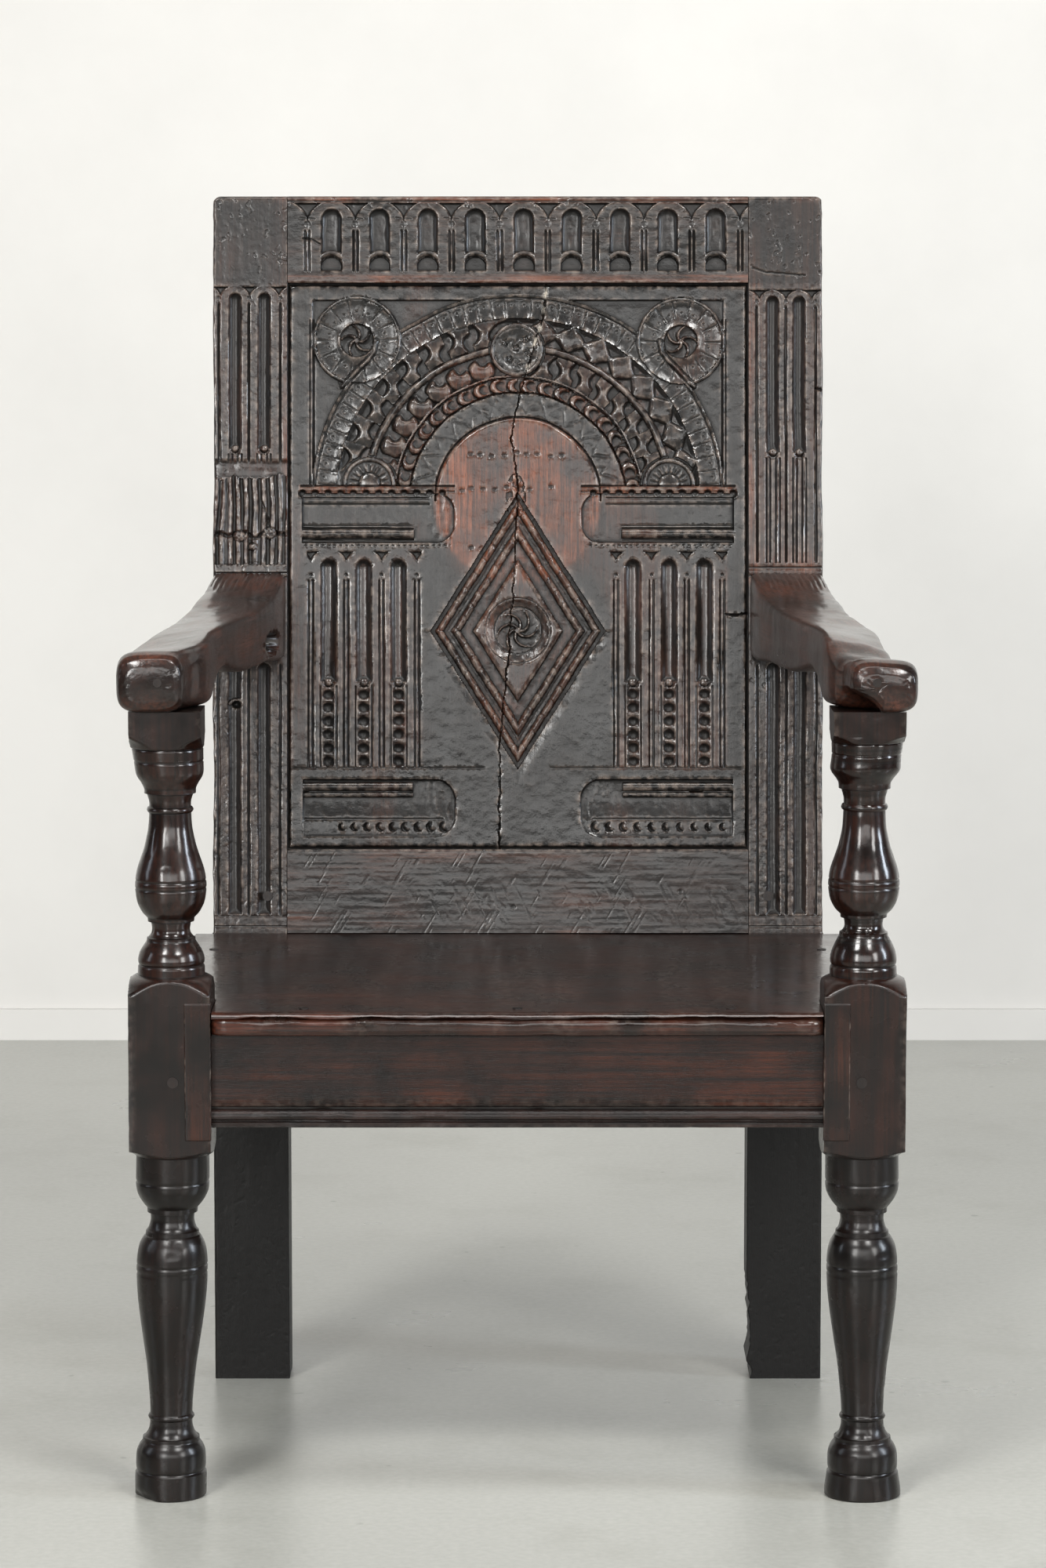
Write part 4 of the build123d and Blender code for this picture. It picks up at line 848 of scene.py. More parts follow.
def charted(u_range, v_range, spacing, relief, tones):
    """Depth, wear with painted highlight and painted shade, and red tone of a carved face, worked out on a
    fine chart.
    """
    columns = max(2, round((u_range[1] - u_range[0]) / spacing))
    rows = max(2, round((v_range[1] - v_range[0]) / spacing))
    u_axis = np.linspace(*u_range, columns + 1)
    v_axis = np.linspace(*v_range, rows + 1)
    v, u = np.meshgrid(v_axis, u_axis)
    height = relief(u, v)
    sharp = height - softened(height, max(1, round(1.0 / spacing)))
    broad = height - softened(height, max(1, round(3.5 / spacing)))
    # bright edges: worn scuffs on sharp arrises, and painted highlight over raised forms such as the rolls
    edge = unit(sharp / 0.28) + 0.6 * unit(broad / 1.1)
    # hollows: grime, and painted shade in the recesses
    hollow = unit(-sharp / 0.45) + 0.7 * unit(-broad / 1.6)
    charts = {"height": height, "edge": unit(edge),
              "hollow": unit(hollow), "red": tones(u, v)}
    if relief is panel_relief:
        # painted light: pale where light from behind shows through the split near its head
        gap = eased(-np.abs(crack_line(u, v)), -1.3, -0.5) * eased(v, 505.0, 530.0)
        charts["pale"] = gap * eased(ripple(v, 6.0, 85), -0.5, 0.1)
        charts["hollow"] = charts["hollow"] * (1.0 - charts["pale"])
    return u_axis, v_axis, charts


def looked_up(chart, u_axis, v_axis, u, v):
    """Values of a chart at any places, between its nodes."""
    across = np.clip((u - u_axis[0]) / (u_axis[1] - u_axis[0]), 0, len(u_axis) - 1.001)
    along = np.clip((v - v_axis[0]) / (v_axis[1] - v_axis[0]), 0, len(v_axis) - 1.001)
    i, j = across.astype(int), along.astype(int)
    s, t = across - i, along - j
    low = chart[i, j] * (1 - s) + chart[i + 1, j] * s
    high = chart[i, j + 1] * (1 - s) + chart[i + 1, j + 1] * s
    return low * (1 - t) + high * t


def read_places(mesh):
    """Vertex places of a mesh in millimetres."""
    places = np.empty(len(mesh.vertices) * 3, dtype=np.float32)
    mesh.vertices.foreach_get("co", places)
    return places.reshape(-1, 3).astype(np.float64) / MM


def write_places(mesh, places):
    """Set vertex places of a mesh from millimetres."""
    mesh.vertices.foreach_set("co", (places * MM).astype(np.float32).ravel())
    mesh.update()


def write_looks(mesh, **looks):
    """Store red wear, bright edges of scuffs and painted highlight, hollows of grime and painted shade, or
    pale wood and painted light through a split, from 0 to 1, at each vertex.
    """
    for name, values in looks.items():
        layer = mesh.attributes.new(name, "FLOAT", "POINT")
        values = np.broadcast_to(values, len(mesh.vertices))
        layer.data.foreach_set("value", values.astype(np.float32))


def write_board(mesh, places):
    """Store places in the board, in metres, with the grain along the third one."""
    layer = mesh.attributes.new("board", "FLOAT_VECTOR", "POINT")
    layer.data.foreach_set("vector", (np.asarray(places) * MM).astype(np.float32).ravel())


def linked(name, data):
    """An object that holds the data, linked to the scene."""
    made = bpy.data.objects.new(name, data)
    bpy.context.scene.collection.objects.link(made)
    return made


def meshed(name, shell):
    """The mesh of a bmesh, which is freed."""
    mesh = bpy.data.meshes.new(name)
    shell.to_mesh(mesh)
    shell.free()
    return mesh


def unmeshed(mesh):
    """A bmesh of a mesh."""
    shell = bmesh.new()
    shell.from_mesh(mesh)
    return shell


def drawn_out(shell, row):
    """Extrude a row of edges in place; gives the new edges and the new corners."""
    made = bmesh.ops.extrude_edge_only(shell, edges=row)["geom"]
    edges = [part for part in made if isinstance(part, bmesh.types.BMEdge)]
    corners = [part for part in made if isinstance(part, bmesh.types.BMVert)]
    return edges, corners


def sealed(shell, rims):
    """Fill the open rims of a solid and turn its faces outwards."""
    bmesh.ops.holes_fill(shell, edges=rims, sides=0)
    bmesh.ops.recalc_face_normals(shell, faces=shell.faces)


def open_edges(shell):
    """Edges with a face on one side only."""
    return [edge for edge in shell.edges if edge.is_boundary]


def sliced(shell, start, way, clear=False):
    """Cut every face along a plane, and drop what lies past it if wanted."""
    parts = list(shell.verts) + list(shell.edges) + list(shell.faces)
    bmesh.ops.bisect_plane(shell, geom=parts, plane_co=start, plane_no=way, clear_outer=clear)


def box_between(low, high):
    """A bmesh box between two corners, in metres."""
    shell = bmesh.new()
    bmesh.ops.create_cube(shell, size=1.0)
    for corner in shell.verts:
        corner.co = Vector([low[n] + (corner.co[n] + 0.5) * (high[n] - low[n]) for n in range(3)])
    return shell


def show(name, mesh, material, replaced, angle=38.0):
    """Put a finished mesh in the scene in place of CAD nodes."""
    made = linked(name, mesh)
    mesh.materials.append(material)
    mesh.shade_smooth()
    mesh.set_sharp_from_angle(angle=math.radians(angle))
    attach(made, "root")
    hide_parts(*replaced)
    return made


def thinned(mesh, limit):
    """The same surface with at most a number of triangles, kept fine where it is carved."""
    triangles = sum(len(face.vertices) - 2 for face in mesh.polygons)
    if triangles <= limit:
        return mesh
    holder = linked(mesh.name, mesh)
    holder.modifiers.new("Decimate", "DECIMATE").ratio = limit / triangles
    depsgraph = bpy.context.evaluated_depsgraph_get()
    result = bpy.data.meshes.new_from_object(holder.evaluated_get(depsgraph))
    bpy.data.objects.remove(holder)
    bpy.data.meshes.remove(mesh)
    return result


def evened(mesh, longest):
    """The same surface with its long edges split, so that shading stays beside the carving."""
    shell = unmeshed(mesh)
    for _ in range(3):
        long_edges = [edge for edge in shell.edges if edge.calc_length() > longest * MM]
        bmesh.ops.subdivide_edges(shell, edges=long_edges, cuts=1)
        bmesh.ops.triangulate(shell, faces=[face for face in shell.faces if len(face.verts) > 3])
    shell.to_mesh(mesh)
    shell.free()
    return mesh


def flat_grid(name, columns, rows):
    """A grid mesh, and the places of its corners from 0 to 1 each way."""
    shell = bmesh.new()
    bmesh.ops.create_grid(shell, x_segments=columns, y_segments=rows, size=0.5)
    mesh = meshed(name, shell)
    flat = read_places(mesh) * MM + 0.5
    return mesh, flat[:, 0], flat[:, 1]


def carved_face(name, u_range, v_range, spacing, relief, tones, place, limit, skin=0.0):
    """An open carved face, thinned, with its charts."""
    u_axis, v_axis, charts = charted(u_range, v_range, spacing, relief, tones)
    mesh, across, along = flat_grid(name, len(u_axis) - 1, len(v_axis) - 1)
    u = u_range[0] + across * (u_range[1] - u_range[0])
    v = v_range[0] + along * (v_range[1] - v_range[0])
    height = looked_up(charts["height"], u_axis, v_axis, u, v)
    write_places(mesh, place(u, skin - height, v))
    mesh = evened(thinned(mesh, limit), 4.0 * FINE)
    u, _, v = unlean(read_places(mesh))
    height = looked_up(charts["height"], u_axis, v_axis, u, v)
    write_places(mesh, place(u, skin - height, v))
    return mesh, (u_axis, v_axis, charts)


def boarded(mesh, place, depths, feather=0.0):
    """Close a carved face into a board: its rim runs back through the depths to a flat back.

    The last depth may be drawn in from the edges by the width of a feathered margin."""
    shell = unmeshed(mesh)
    rim = open_edges(shell)
    for depth in depths:
        rim, corners = drawn_out(shell, rim)
        places = np.array([corner.co for corner in corners]) / MM
        u, _, v = unlean(places)
        if depth == depths[-1]:
            middle_u, middle_v = (u.max() + u.min()) / 2, (v.max() + v.min()) / 2
            u = middle_u + (u - middle_u) * (1.0 - feather / (u.max() - middle_u))
            v = middle_v + (v - middle_v) * (1.0 - feather / (v.max() - middle_v))
        moved = place(u, np.full(u.shape, depth), v) * MM
        for corner, spot in zip(corners, moved):
            corner.co = spot
    sealed(shell, rim)
    return shell


def finish_board(name, shell, charts, node_name, seed):
    """Turn a closed board into an object and store its wear, painted highlight and shade, and grain."""
    mesh = meshed(name, shell)
    u_axis, v_axis, maps = charts
    u, w, v = unlean(read_places(mesh))
    worn = w < WEAR_DEPTH
    for label in maps:
        if label == "height":
            continue
        values = looked_up(maps[label], u_axis, v_axis, u, v)
        if label == "hollow":
            # legs get painted shade all round, and the heads of the stiles are made a little darker
            worn = worn | (v < 0.0)
            values = np.maximum(values, 1.6 * fading(v, -60.0, -2.0))
            values = np.maximum(values, 0.4 * (v > CREST_FOOT) * node_name.endswith("stile"))
        write_looks(mesh, **{label: np.where(worn, values, 0.15 if label == "red" else 0.0)})
    along_rail = node_name.endswith("rail")
    across, along = (v, u) if along_rail else (u, v)
    write_board(mesh, np.stack([across + seed * 37.0, w, along], axis=-1))
    return show(name, mesh, carved_oak, (node_name,))


# ---------------------------------------------------------------- materials
def linear(code):
    """Linear colour of an sRGB hex code."""
    parts = [int(code[i:i + 2], 16) / 255 for i in (1, 3, 5)]
    return tuple(c / 12.92 if c <= 0.04045 else ((c + 0.055) / 1.055) ** 2.4 for c in parts) + (1.0,)


def fed(tree, made, inputs):
    """Give a node's inputs their values, or the sockets that feed them."""
    for key, value in inputs.items():
        if isinstance(value, bpy.types.NodeSocket):
            tree.links.new(value, made.inputs[key])
        else:
            made.inputs[key].default_value = value
    return made


def node(tree, kind, inputs=None, **settings):
    """Add a shader node with its settings and inputs."""
    made = tree.nodes.new("ShaderNode" + kind)
    for name, value in settings.items():
        setattr(made, name, value)
    return fed(tree, made, inputs or {})


def blended(tree, low, high, part):
    """Mix of two colours."""
    return node(tree, "Mix", {0: part, 6: low, 7: high}, data_type="RGBA").outputs[2]


def ranged(tree, value, low, high, bottom=0.0, top=1.0):
    """A value carried from one range to another."""
    inputs = {"Value": value, "From Min": low, "From Max": high, "To Min": bottom, "To Max": top}
    return node(tree, "MapRange", inputs).outputs[0]


def added(tree, first, second):
    """Sum of two values."""
    return node(tree, "Math", {0: first, 1: second}, operation="ADD").outputs[0]


def times(tree, first, second):
    """Product of two values."""
    return node(tree, "Math", {0: first, 1: second}, operation="MULTIPLY").outputs[0]


def noise(tree, place, scale, detail, roughness=0.5):
    """Cloudy noise, mostly from 0.3 to 0.7."""
    inputs = {"Vector": place, "Scale": scale, "Detail": detail, "Roughness": roughness}
    return node(tree, "TexNoise", inputs).outputs[0]


def stretched(tree, place, scales):
    """A place scaled by its own factor along each way."""
    return node(tree, "VectorMath", {0: place, 1: scales}, operation="MULTIPLY").outputs[0]


def stored(tree, name):
    """A number stored on the mesh."""
    return node(tree, "Attribute", attribute_name=name).outputs["Fac"]


def new_material(name):
    """A new material, its node tree and its Principled shader."""
    material = bpy.data.materials.new(name)
    material.use_nodes = True
    return material, material.node_tree, material.node_tree.nodes["Principled BSDF"]


SCUFF_AND_HIGHLIGHT = "#84766c"
SHADE_AND_GRIME = "#090807"
PORES = "#0a0706"
BARE_WOOD_AND_SPLIT_LIGHT = "#cfc8bd"


def oak(name, dark, red, light, shine, gloss, redness, rough=0.8, axes=None):
    """Old oak under wax and smoke: near black, red where hands have worn it.

    The grain runs along the third board place, or along the last of the axes of
    the object. Streaks are 1 to 3 mm wide and pores about 0.25 mm by 5 mm."""
    material, tree, shader = new_material(name)
    if axes is None:
        place = node(tree, "Attribute", attribute_name="board").outputs["Vector"]
    else:
        whole = node(tree, "SeparateXYZ", {0: node(tree, "TexCoord").outputs["Object"]})
        turned = node(tree, "CombineXYZ", {n: whole.outputs[axis] for n, axis in enumerate(axes)})
        place = turned.outputs[0]
    edge, hollow, worn = (stored(tree, label) for label in ("edge", "hollow", "red"))
    streaks = noise(tree, stretched(tree, place, (420.0, 420.0, 9.0)), 1.0, 4.0)
    pores = noise(tree, stretched(tree, place, (1900.0, 1900.0, 85.0)), 1.0, 2.0)
    clouds = noise(tree, place, 17.0, 5.0, 0.6)
    dents = noise(tree, place, 150.0, 3.0)
    pore = ranged(tree, pores, 0.36, 0.47)
    # colour: dark ground, red heartwood under worn places, pale scuffs with painted highlight on raised
    # edges, and grime with painted shade in hollows
    lights = times(tree, ranged(tree, streaks, 0.32, 0.68), ranged(tree, clouds, 0.36, 0.66))
    ground = blended(tree, linear(dark), linear(light), lights)
    shown = added(tree, worn, redness)
    shown = times(tree, shown, ranged(tree, streaks, 0.30, 0.62, 0.15, 1.2))
    shown = times(tree, shown, ranged(tree, clouds, 0.36, 0.6, 0.12, 1.2))
    # hollows lose their red and go near black: grime with painted shade in recesses, under the arms, on the
    # legs and in dark streaks on the seat
    shown = times(tree, shown, ranged(tree, hollow, 0.0, 0.8, 1.0, 0.15))
    tinted = blended(tree, ground, linear(red), shown)
    # painted highlight: raised edges, the seat's nose and its streaks go pale, over real scuffs
    scuff = times(tree, edge, ranged(tree, dents, 0.42, 0.66, 0.0, 0.5))
    tinted = blended(tree, tinted, linear(SCUFF_AND_HIGHLIGHT), scuff)
    # painted shade with grime, towards near black
    tinted = blended(tree, tinted, linear(SHADE_AND_GRIME), times(tree, hollow, 0.6))
    tinted = blended(tree, linear(PORES), tinted, ranged(tree, pore, 0.0, 1.0, 0.4, 1.0))
    # pale: bare wood in the torn arm, and painted light through the split of the panel
    tinted = blended(tree, tinted, linear(BARE_WOOD_AND_SPLIT_LIGHT), stored(tree, "pale"))
    # sheen: wax fills the flats and is thin over pores and hollows
    dull = ranged(tree, clouds, 0.3, 0.7, gloss + 0.05, gloss + 0.22)
    dull = added(tree, dull, times(tree, hollow, 0.12))
    film_weight = ranged(tree, hollow, 0.0, 1.0, shine, 0.5 * shine)
    film_gloss = added(tree, ranged(tree, clouds, 0.34, 0.66, gloss - 0.05, gloss + 0.05),
                       times(tree, edge, -0.09))
    film_gloss = added(tree, film_gloss, times(tree, hollow, 0.15))
    film_gloss = node(tree, "Math", {0: film_gloss, 1: 0.08}, operation="MAXIMUM").outputs[0]
    height = added(tree, times(tree, streaks, 0.45), times(tree, pore, 0.2))
    height = added(tree, height, times(tree, dents, 0.9))
    relief = node(tree, "Bump", {"Height": height, "Strength": 0.8 * rough, "Distance": 0.0006})
    film_height = added(tree, dents, times(tree, streaks, 0.15))
    film = node(tree, "Bump", {"Height": film_height, "Strength": 0.55 * rough, "Distance": 0.0006})
    fed(tree, shader, {"Base Color": tinted, "Roughness": dull, "IOR": 1.5,
                       "Specular IOR Level": 0.28 - 0.2 * shine, "Normal": relief.outputs[0],
                       "Coat Weight": film_weight, "Coat Roughness": film_gloss,
                       "Coat IOR": 1.46, "Coat Normal": film.outputs[0]})
    return material


# smoked and waxed oak of the carved back, hazy grey with dust in the wax
carved_oak = oak("carved_oak_dull_wax", "#0d0c0b", "#6b3c27", "#1c1815", 0.85, 0.24, 0.0, 1.0)
# the same oak on the rails under the seat, browner and less carved
RAIL_LOOK = ("#070404", "#52240f", "#1d0f0b", 0.5, 0.24, 0.12, 1.0)
rail_oak = oak("rail_oak_waxed", *RAIL_LOOK)
rail_oak_cross = oak("rail_oak_waxed_cross", *RAIL_LOOK, (1, 2, 0))
rail_oak_deep = oak("rail_oak_waxed_deep", *RAIL_LOOK, (0, 2, 1))
# seat board polished by clothing
seat_oak = oak("seat_oak_polished", "#120c0a", "#582b1c", "#281812", 0.9, 0.17, 0.03, 0.6)
# arms polished by hands
arm_oak = oak("arm_oak_hand_polished", "#120c0a", "#5a3020", "#211510", 0.85, 0.21, 0.02, 0.7)
# turned posts under old varnish and wax
turned_oak = oak("turned_oak_varnished", "#080504", "#4a2212", "#140b08", 0.9, 0.17, 0.02, 0.2)
strip_oak = oak("strip_oak_varnished", "#090605", "#52250f", "#180c08", 0.7, 0.22, 0.08, 0.5)
# riven oak pegs, end grain outwards
peg_oak = oak("peg_oak_end_grain", "#120d0b", "#45291b", "#1d1410", 0.3, 0.38, 0.05, 0.8, (0, 1, 2))


# ---------------------------------------------------------------- framed back
def make_panel():
    """Back panel carved on its face, feathered at its edges behind."""
    reach = STILE_INNER + PANEL_REACH
    u_range = (-reach, reach)
    v_range = (LOWER_RAIL_HEAD - PANEL_REACH, CREST_FOOT + PANEL_REACH)
    mesh, charts = carved_face("carved_back_panel", u_range, v_range, 0.85 * FINE, panel_relief,
                               panel_tones, lean, 165000, PANEL_FACE)
    shell = boarded(mesh, lean, (PANEL_FACE + PANEL_EDGE, PANEL_FACE + PANEL_THICKNESS), 33.0)
    return finish_board("carved_back_panel", shell, charts, "back_panel", 1)


def make_rail(name, node_name, v_range, relief, tones, seed):
    """A rail of the framed back."""
    mesh, charts = carved_face(name, (-STILE_INNER, STILE_INNER), v_range, 0.75 * FINE, relief,
                               tones, lean, 110000)
    shell = boarded(mesh, lean, (3.0, 12.0, RAIL_THICKNESS))
    return finish_board(name, shell, charts, node_name, seed)


def make_stile(side, node_name):
    """A rear stile: leg below the seat, carved and raked above it."""
    u_range = (STILE_INNER, STILE_OUTER) if side > 0 else (-STILE_OUTER, -STILE_INNER)
    mesh, charts = carved_face(f"{node_name}_carved", u_range, (-SEAT, BACK_TOP), 0.75 * FINE,
                               stile_relief(side), stile_tones(side), along_stile, 140000)
    places = read_places(mesh)
    u, w, v = unlean(places)
    write_places(mesh, along_stile(*stile_silhouette(side, u, w, v)))
    shell = boarded(mesh, along_stile, (4.0, 12.0, STILE_DEPTH))
    return finish_board(f"{node_name}_carved", shell, charts, node_name, 5 + side)


def stile_silhouette(side, u, w, v):
    """Worn outline of a stile: a rounded top corner, a wavering edge and a broken foot."""
    outer = side * u - (STILE_INNER + STILE_OUTER) / 2
    part = eased(outer, 10.0, 34.2)
    waver = 0.8 + 0.6 * ripple(v, 70.0, 171 + side) + 0.3 * ripple(v, 9.0, 173)
    u = u - side * part * np.maximum(waver, 0.0) * (v > 0)
    corner = STILE_OUTER - side * u
    drop = 7.5 - np.sqrt(np.clip(7.5 ** 2 - np.clip(7.5 - corner, 0.0, 7.5) ** 2, 0.0, None))
    v = np.where(v > BACK_TOP - 25.0, v - drop * eased(v, BACK_TOP - 25.0, BACK_TOP), v)
    if side > 0:
        chip = 4.0 * eased(-v, 316.0, 345.0) * (0.55 + 0.6 * ripple(v, 9.0, 175))
        chip = chip + 2.0 * eased(-v, 396.0, 412.0) + 0.8 * ripple(v, 3.5, 176) * (v < -320.0)
        near = eased(-outer, 8.0, 34.2)
        u = u + np.clip(chip, 0.0, 9.0) * near
    return u, w, v


make_panel()
make_rail("carved_crest_rail", "crest_rail", (CREST_FOOT, BACK_TOP), crest_relief, crest_tones, 2)
make_rail("lower_back_rail_worn", "lower_back_rail", (0.4, LOWER_RAIL_HEAD), lower_rail_relief,
          lower_rail_tones, 3)
make_stile(-1, "left_rear_stile")
make_stile(1, "right_rear_stile")


# ---------------------------------------------------------------- turned posts
# Runs of the turning from the floor up, as (height, radius); each run is smooth.
LOWER_TURNING = (
    ((0.0, 28.6), (1.2, 29.8), (20.4, 29.8), (21.6, 29.0)),
    ((22.4, 28.6), (27.0, 29.2), (37.0, 28.8), (43.0, 26.8), (47.0, 24.0)),
    ((47.6, 23.8), (50.4, 23.6)),
    ((51.0, 22.0), (55.0, 19.4), (60.0, 17.9), (65.2, 17.7)),
    ((65.6, 18.4), (67.6, 19.3), (69.6, 18.4)),
    ((70.2, 17.5), (82.0, 18.0), (93.0, 18.9), (111.5, 20.7), (130.0, 23.4), (149.0, 26.1),
     (168.0, 28.4), (183.0, 29.4), (197.0, 29.6), (207.0, 28.8), (215.0, 26.9), (221.0, 23.6)),
    ((221.8, 22.4), (225.4, 22.0)),
    ((226.0, 21.3), (229.0, 19.5), (235.0, 18.1), (240.6, 18.5)),
    ((241.2, 20.9), (245.0, 21.0)),
    ((245.6, 21.6), (249.0, 24.4), (254.0, 27.6), (260.0, 30.0), (267.0, 30.6)),
    ((267.4, 30.6), (289.6, 30.4)),
    ((290.2, 32.0), (294.0, 38.0), (297.6, 50.0)))
UPPER_TURNING = (
    ((421.0, 50.6), (425.0, 48.4), (429.4, 44.0), (433.6, 39.4), (437.0, 35.4), (439.4, 31.6),
     (440.6, 28.8)),
    ((440.9, 27.9), (448.6, 27.5)),
    ((449.4, 26.9), (453.0, 27.6), (459.0, 26.2), (464.4, 23.2), (468.4, 20.4)),
    ((469.0, 20.2), (471.4, 20.0)),
    ((472.0, 18.7), (475.0, 16.6), (479.0, 15.8), (484.4, 16.6)),
    ((485.0, 19.2), (488.0, 19.4)),
    ((488.6, 20.0), (493.0, 24.0), (501.0, 27.8), (510.0, 29.3), (518.0, 29.4), (528.0, 27.8),
     (537.0, 24.9), (546.0, 21.9), (555.0, 19.7), (564.0, 18.1), (575.4, 17.4)),
    ((575.8, 18.4), (577.8, 19.4), (580.0, 18.4)),
    ((580.4, 17.2), (585.0, 17.4), (591.0, 19.2)),
    ((591.6, 21.4), (595.4, 21.5)),
    ((596.0, 21.6), (600.0, 23.6), (604.6, 26.6), (609.0, 28.1), (618.0, 28.8)),
    ((618.4, 28.8), (628.8, 29.6)),
    ((629.2, 30.8), (636.0, 36.0), (645.0, 50.0)),
    ((645.1, 50.0), (661.0, 50.0)))
# heights of fine lines cut on the lathe
TURNED_LINES = (190.0, 197.2, 267.2, 512.4, 519.4, 618.2, 629.0, 449.0, 21.9)


# heights of further lines, at the joins of the turned runs, that are made darker
DARKENED_LINES = TURNED_LINES + (48.0, 51.0, 66.0, 70.0, 222.0, 241.0, 245.4, 469.0, 472.0, 485.0,
                              488.4, 575.6, 580.2, 591.4, 595.8, 440.6, 290.0)
# how far the right post was turned above the left one, by height
RIGHT_SHIFTS = ((421.0, 0.0), (445.0, -1.5), (470.0, 4.5), (510.0, 1.5), (560.0, 0.0),
                (592.0, 4.0), (618.0, 6.0), (629.0, 5.0), (645.0, 0.0))


def turned_profile(runs):
    """Points of a turned outline, with each run drawn smooth through its own points."""
    outline = []
    for points in runs:
        for number in range(len(points) - 1):
            before = points[max(number - 1, 0)]
            start, end = points[number], points[number + 1]
            after = points[min(number + 2, len(points) - 1)]
            length = math.hypot(end[0] - start[0], end[1] - start[1])
            steps = max(1, min(8, round(length / 1.3)))
            for step in range(steps):
                part = step / steps
                outline.append(tuple(bent(a, b, c, d, part)
                                     for a, b, c, d in zip(before, start, end, after)))
        outline.append(points[-1])
    return outline


def bent(before, start, end, after, part):
    """A smooth curve through four values, at a part of the way from the second to the third."""
    rise = (end - before) / 2
    fall = (after - start) / 2
    square, cube = part * part, part ** 3
    return ((2 * cube - 3 * square + 1) * start + (cube - 2 * square + part) * rise
            + (3 * square - 2 * cube) * end + (cube - square) * fall)


def turned_post(name):
    """A post turned round its own axis, bulging where it is left square."""
    outline = turned_profile(LOWER_TURNING)
    for step in range(21):
        outline.append((BLOCK_FOOT + (BLOCK_HEAD - BLOCK_FOOT) * step / 20, 50.0))
    outline += turned_profile(UPPER_TURNING)
    shell = bmesh.new()
    corners = [shell.verts.new((radius * MM, 0.0, height * MM)) for height, radius in outline]
    edges = [shell.edges.new(pair) for pair in zip(corners, corners[1:])]
    bmesh.ops.spin(shell, geom=corners + edges, cent=(0, 0, 0), axis=(0, 0, 1),
                   angle=2 * math.pi, steps=96, use_merge=True)
    sealed(shell, open_edges(shell))
    return meshed(name, shell)


def make_post(side, node_name):
    """A front post turned above and below a square block, and squared again under the arm."""
    name = f"{node_name}_turned"
    mesh = turned_post(name)
    places = read_places(mesh)
    turn = np.arctan2(places[:, 1], places[:, 0])
    radius = np.hypot(places[:, 0], places[:, 1])
    height = places[:, 2]
    sharp = 44
    square = (np.abs(np.cos(turn)) ** sharp + np.abs(np.sin(turn)) ** sharp) ** (-1 / sharp)
    half = POST_SQUARE / 2 - 0.12 + 0.2 * drift(turn * 20, height, 14, 30, 200 + side)
    squared = between(height, 285.0, 441.0) | (height > 626.0)
    half = half - 4.2 * (height > 600.0)
    limit = half * square
    radius = np.where(squared, np.minimum(radius, limit), radius)
    for line in TURNED_LINES:
        radius = radius + gouge(height - line, 0.9, 0.7) * (radius < 31.5)
    dents = eased(drift(turn * 26, height, 7, 9, 210 + side), 0.5, 0.95)
    radius = radius - 0.35 * dents - 0.05 * drift(turn * 26, height, 4, 4, 211)
    if side < 0:
        chip = eased(np.cos(turn + 2.5), 0.80, 1.0) * fading(height, 1.0, 9.0)
        radius = radius - 4.0 * chip
    else:
        radius = radius + 1.7 * fading(height, 3.0, 22.0) * (np.abs(np.cos(turn)) + 0.2)
        radius = radius + 1.5 * np.exp(-((height - 605.0) / 6.0) ** 2)
        height = height + np.interp(height, *zip(*RIGHT_SHIFTS))
        places[:, 2] = height
    splay = (4.0 if side < 0 else 2.6) * unit(1.0 - height / 290.0)
    splay = splay + 2.2 * eased(height, 600.0, 640.0)
    places[:, 0] = radius * np.cos(turn) + side * splay
    places[:, 1] = radius * np.sin(turn)
    write_board(mesh, places + np.array([500.0 + 90.0 * side, 0.0, 0.0]))
    flats = squared & (limit <= radius + 0.4)
    red = 0.14 + 0.30 * flats * eased(drift(turn * 34, height, 6, 46, 220 + side), -0.7, 0.8)
    corner = eased(np.abs(np.sin(2 * turn)), 0.985, 1.0) * flats
    groove = np.zeros(len(height))
    for line in DARKENED_LINES:
        groove = np.maximum(groove, 1.0 - unit(np.abs(height - line) / 1.2))
    # painted shade on the legs under the seat; the squared blocks and the joins of the runs are made darker
    leg_shade_and_dark_blocks = 0.6 * (height < 290.0) + 0.5 * flats
    write_looks(mesh, red=red, edge=0.5 * corner,
                hollow=np.maximum(0.7 * groove * (radius < 36.0), leg_shade_and_dark_blocks))
    write_places(mesh, places + np.array([side * POST_X, POST_Y, 0.0]))
    return show(name, mesh, turned_oak, (node_name,), 42.0)


make_post(-1, "left_front_post")
make_post(1, "right_front_post")


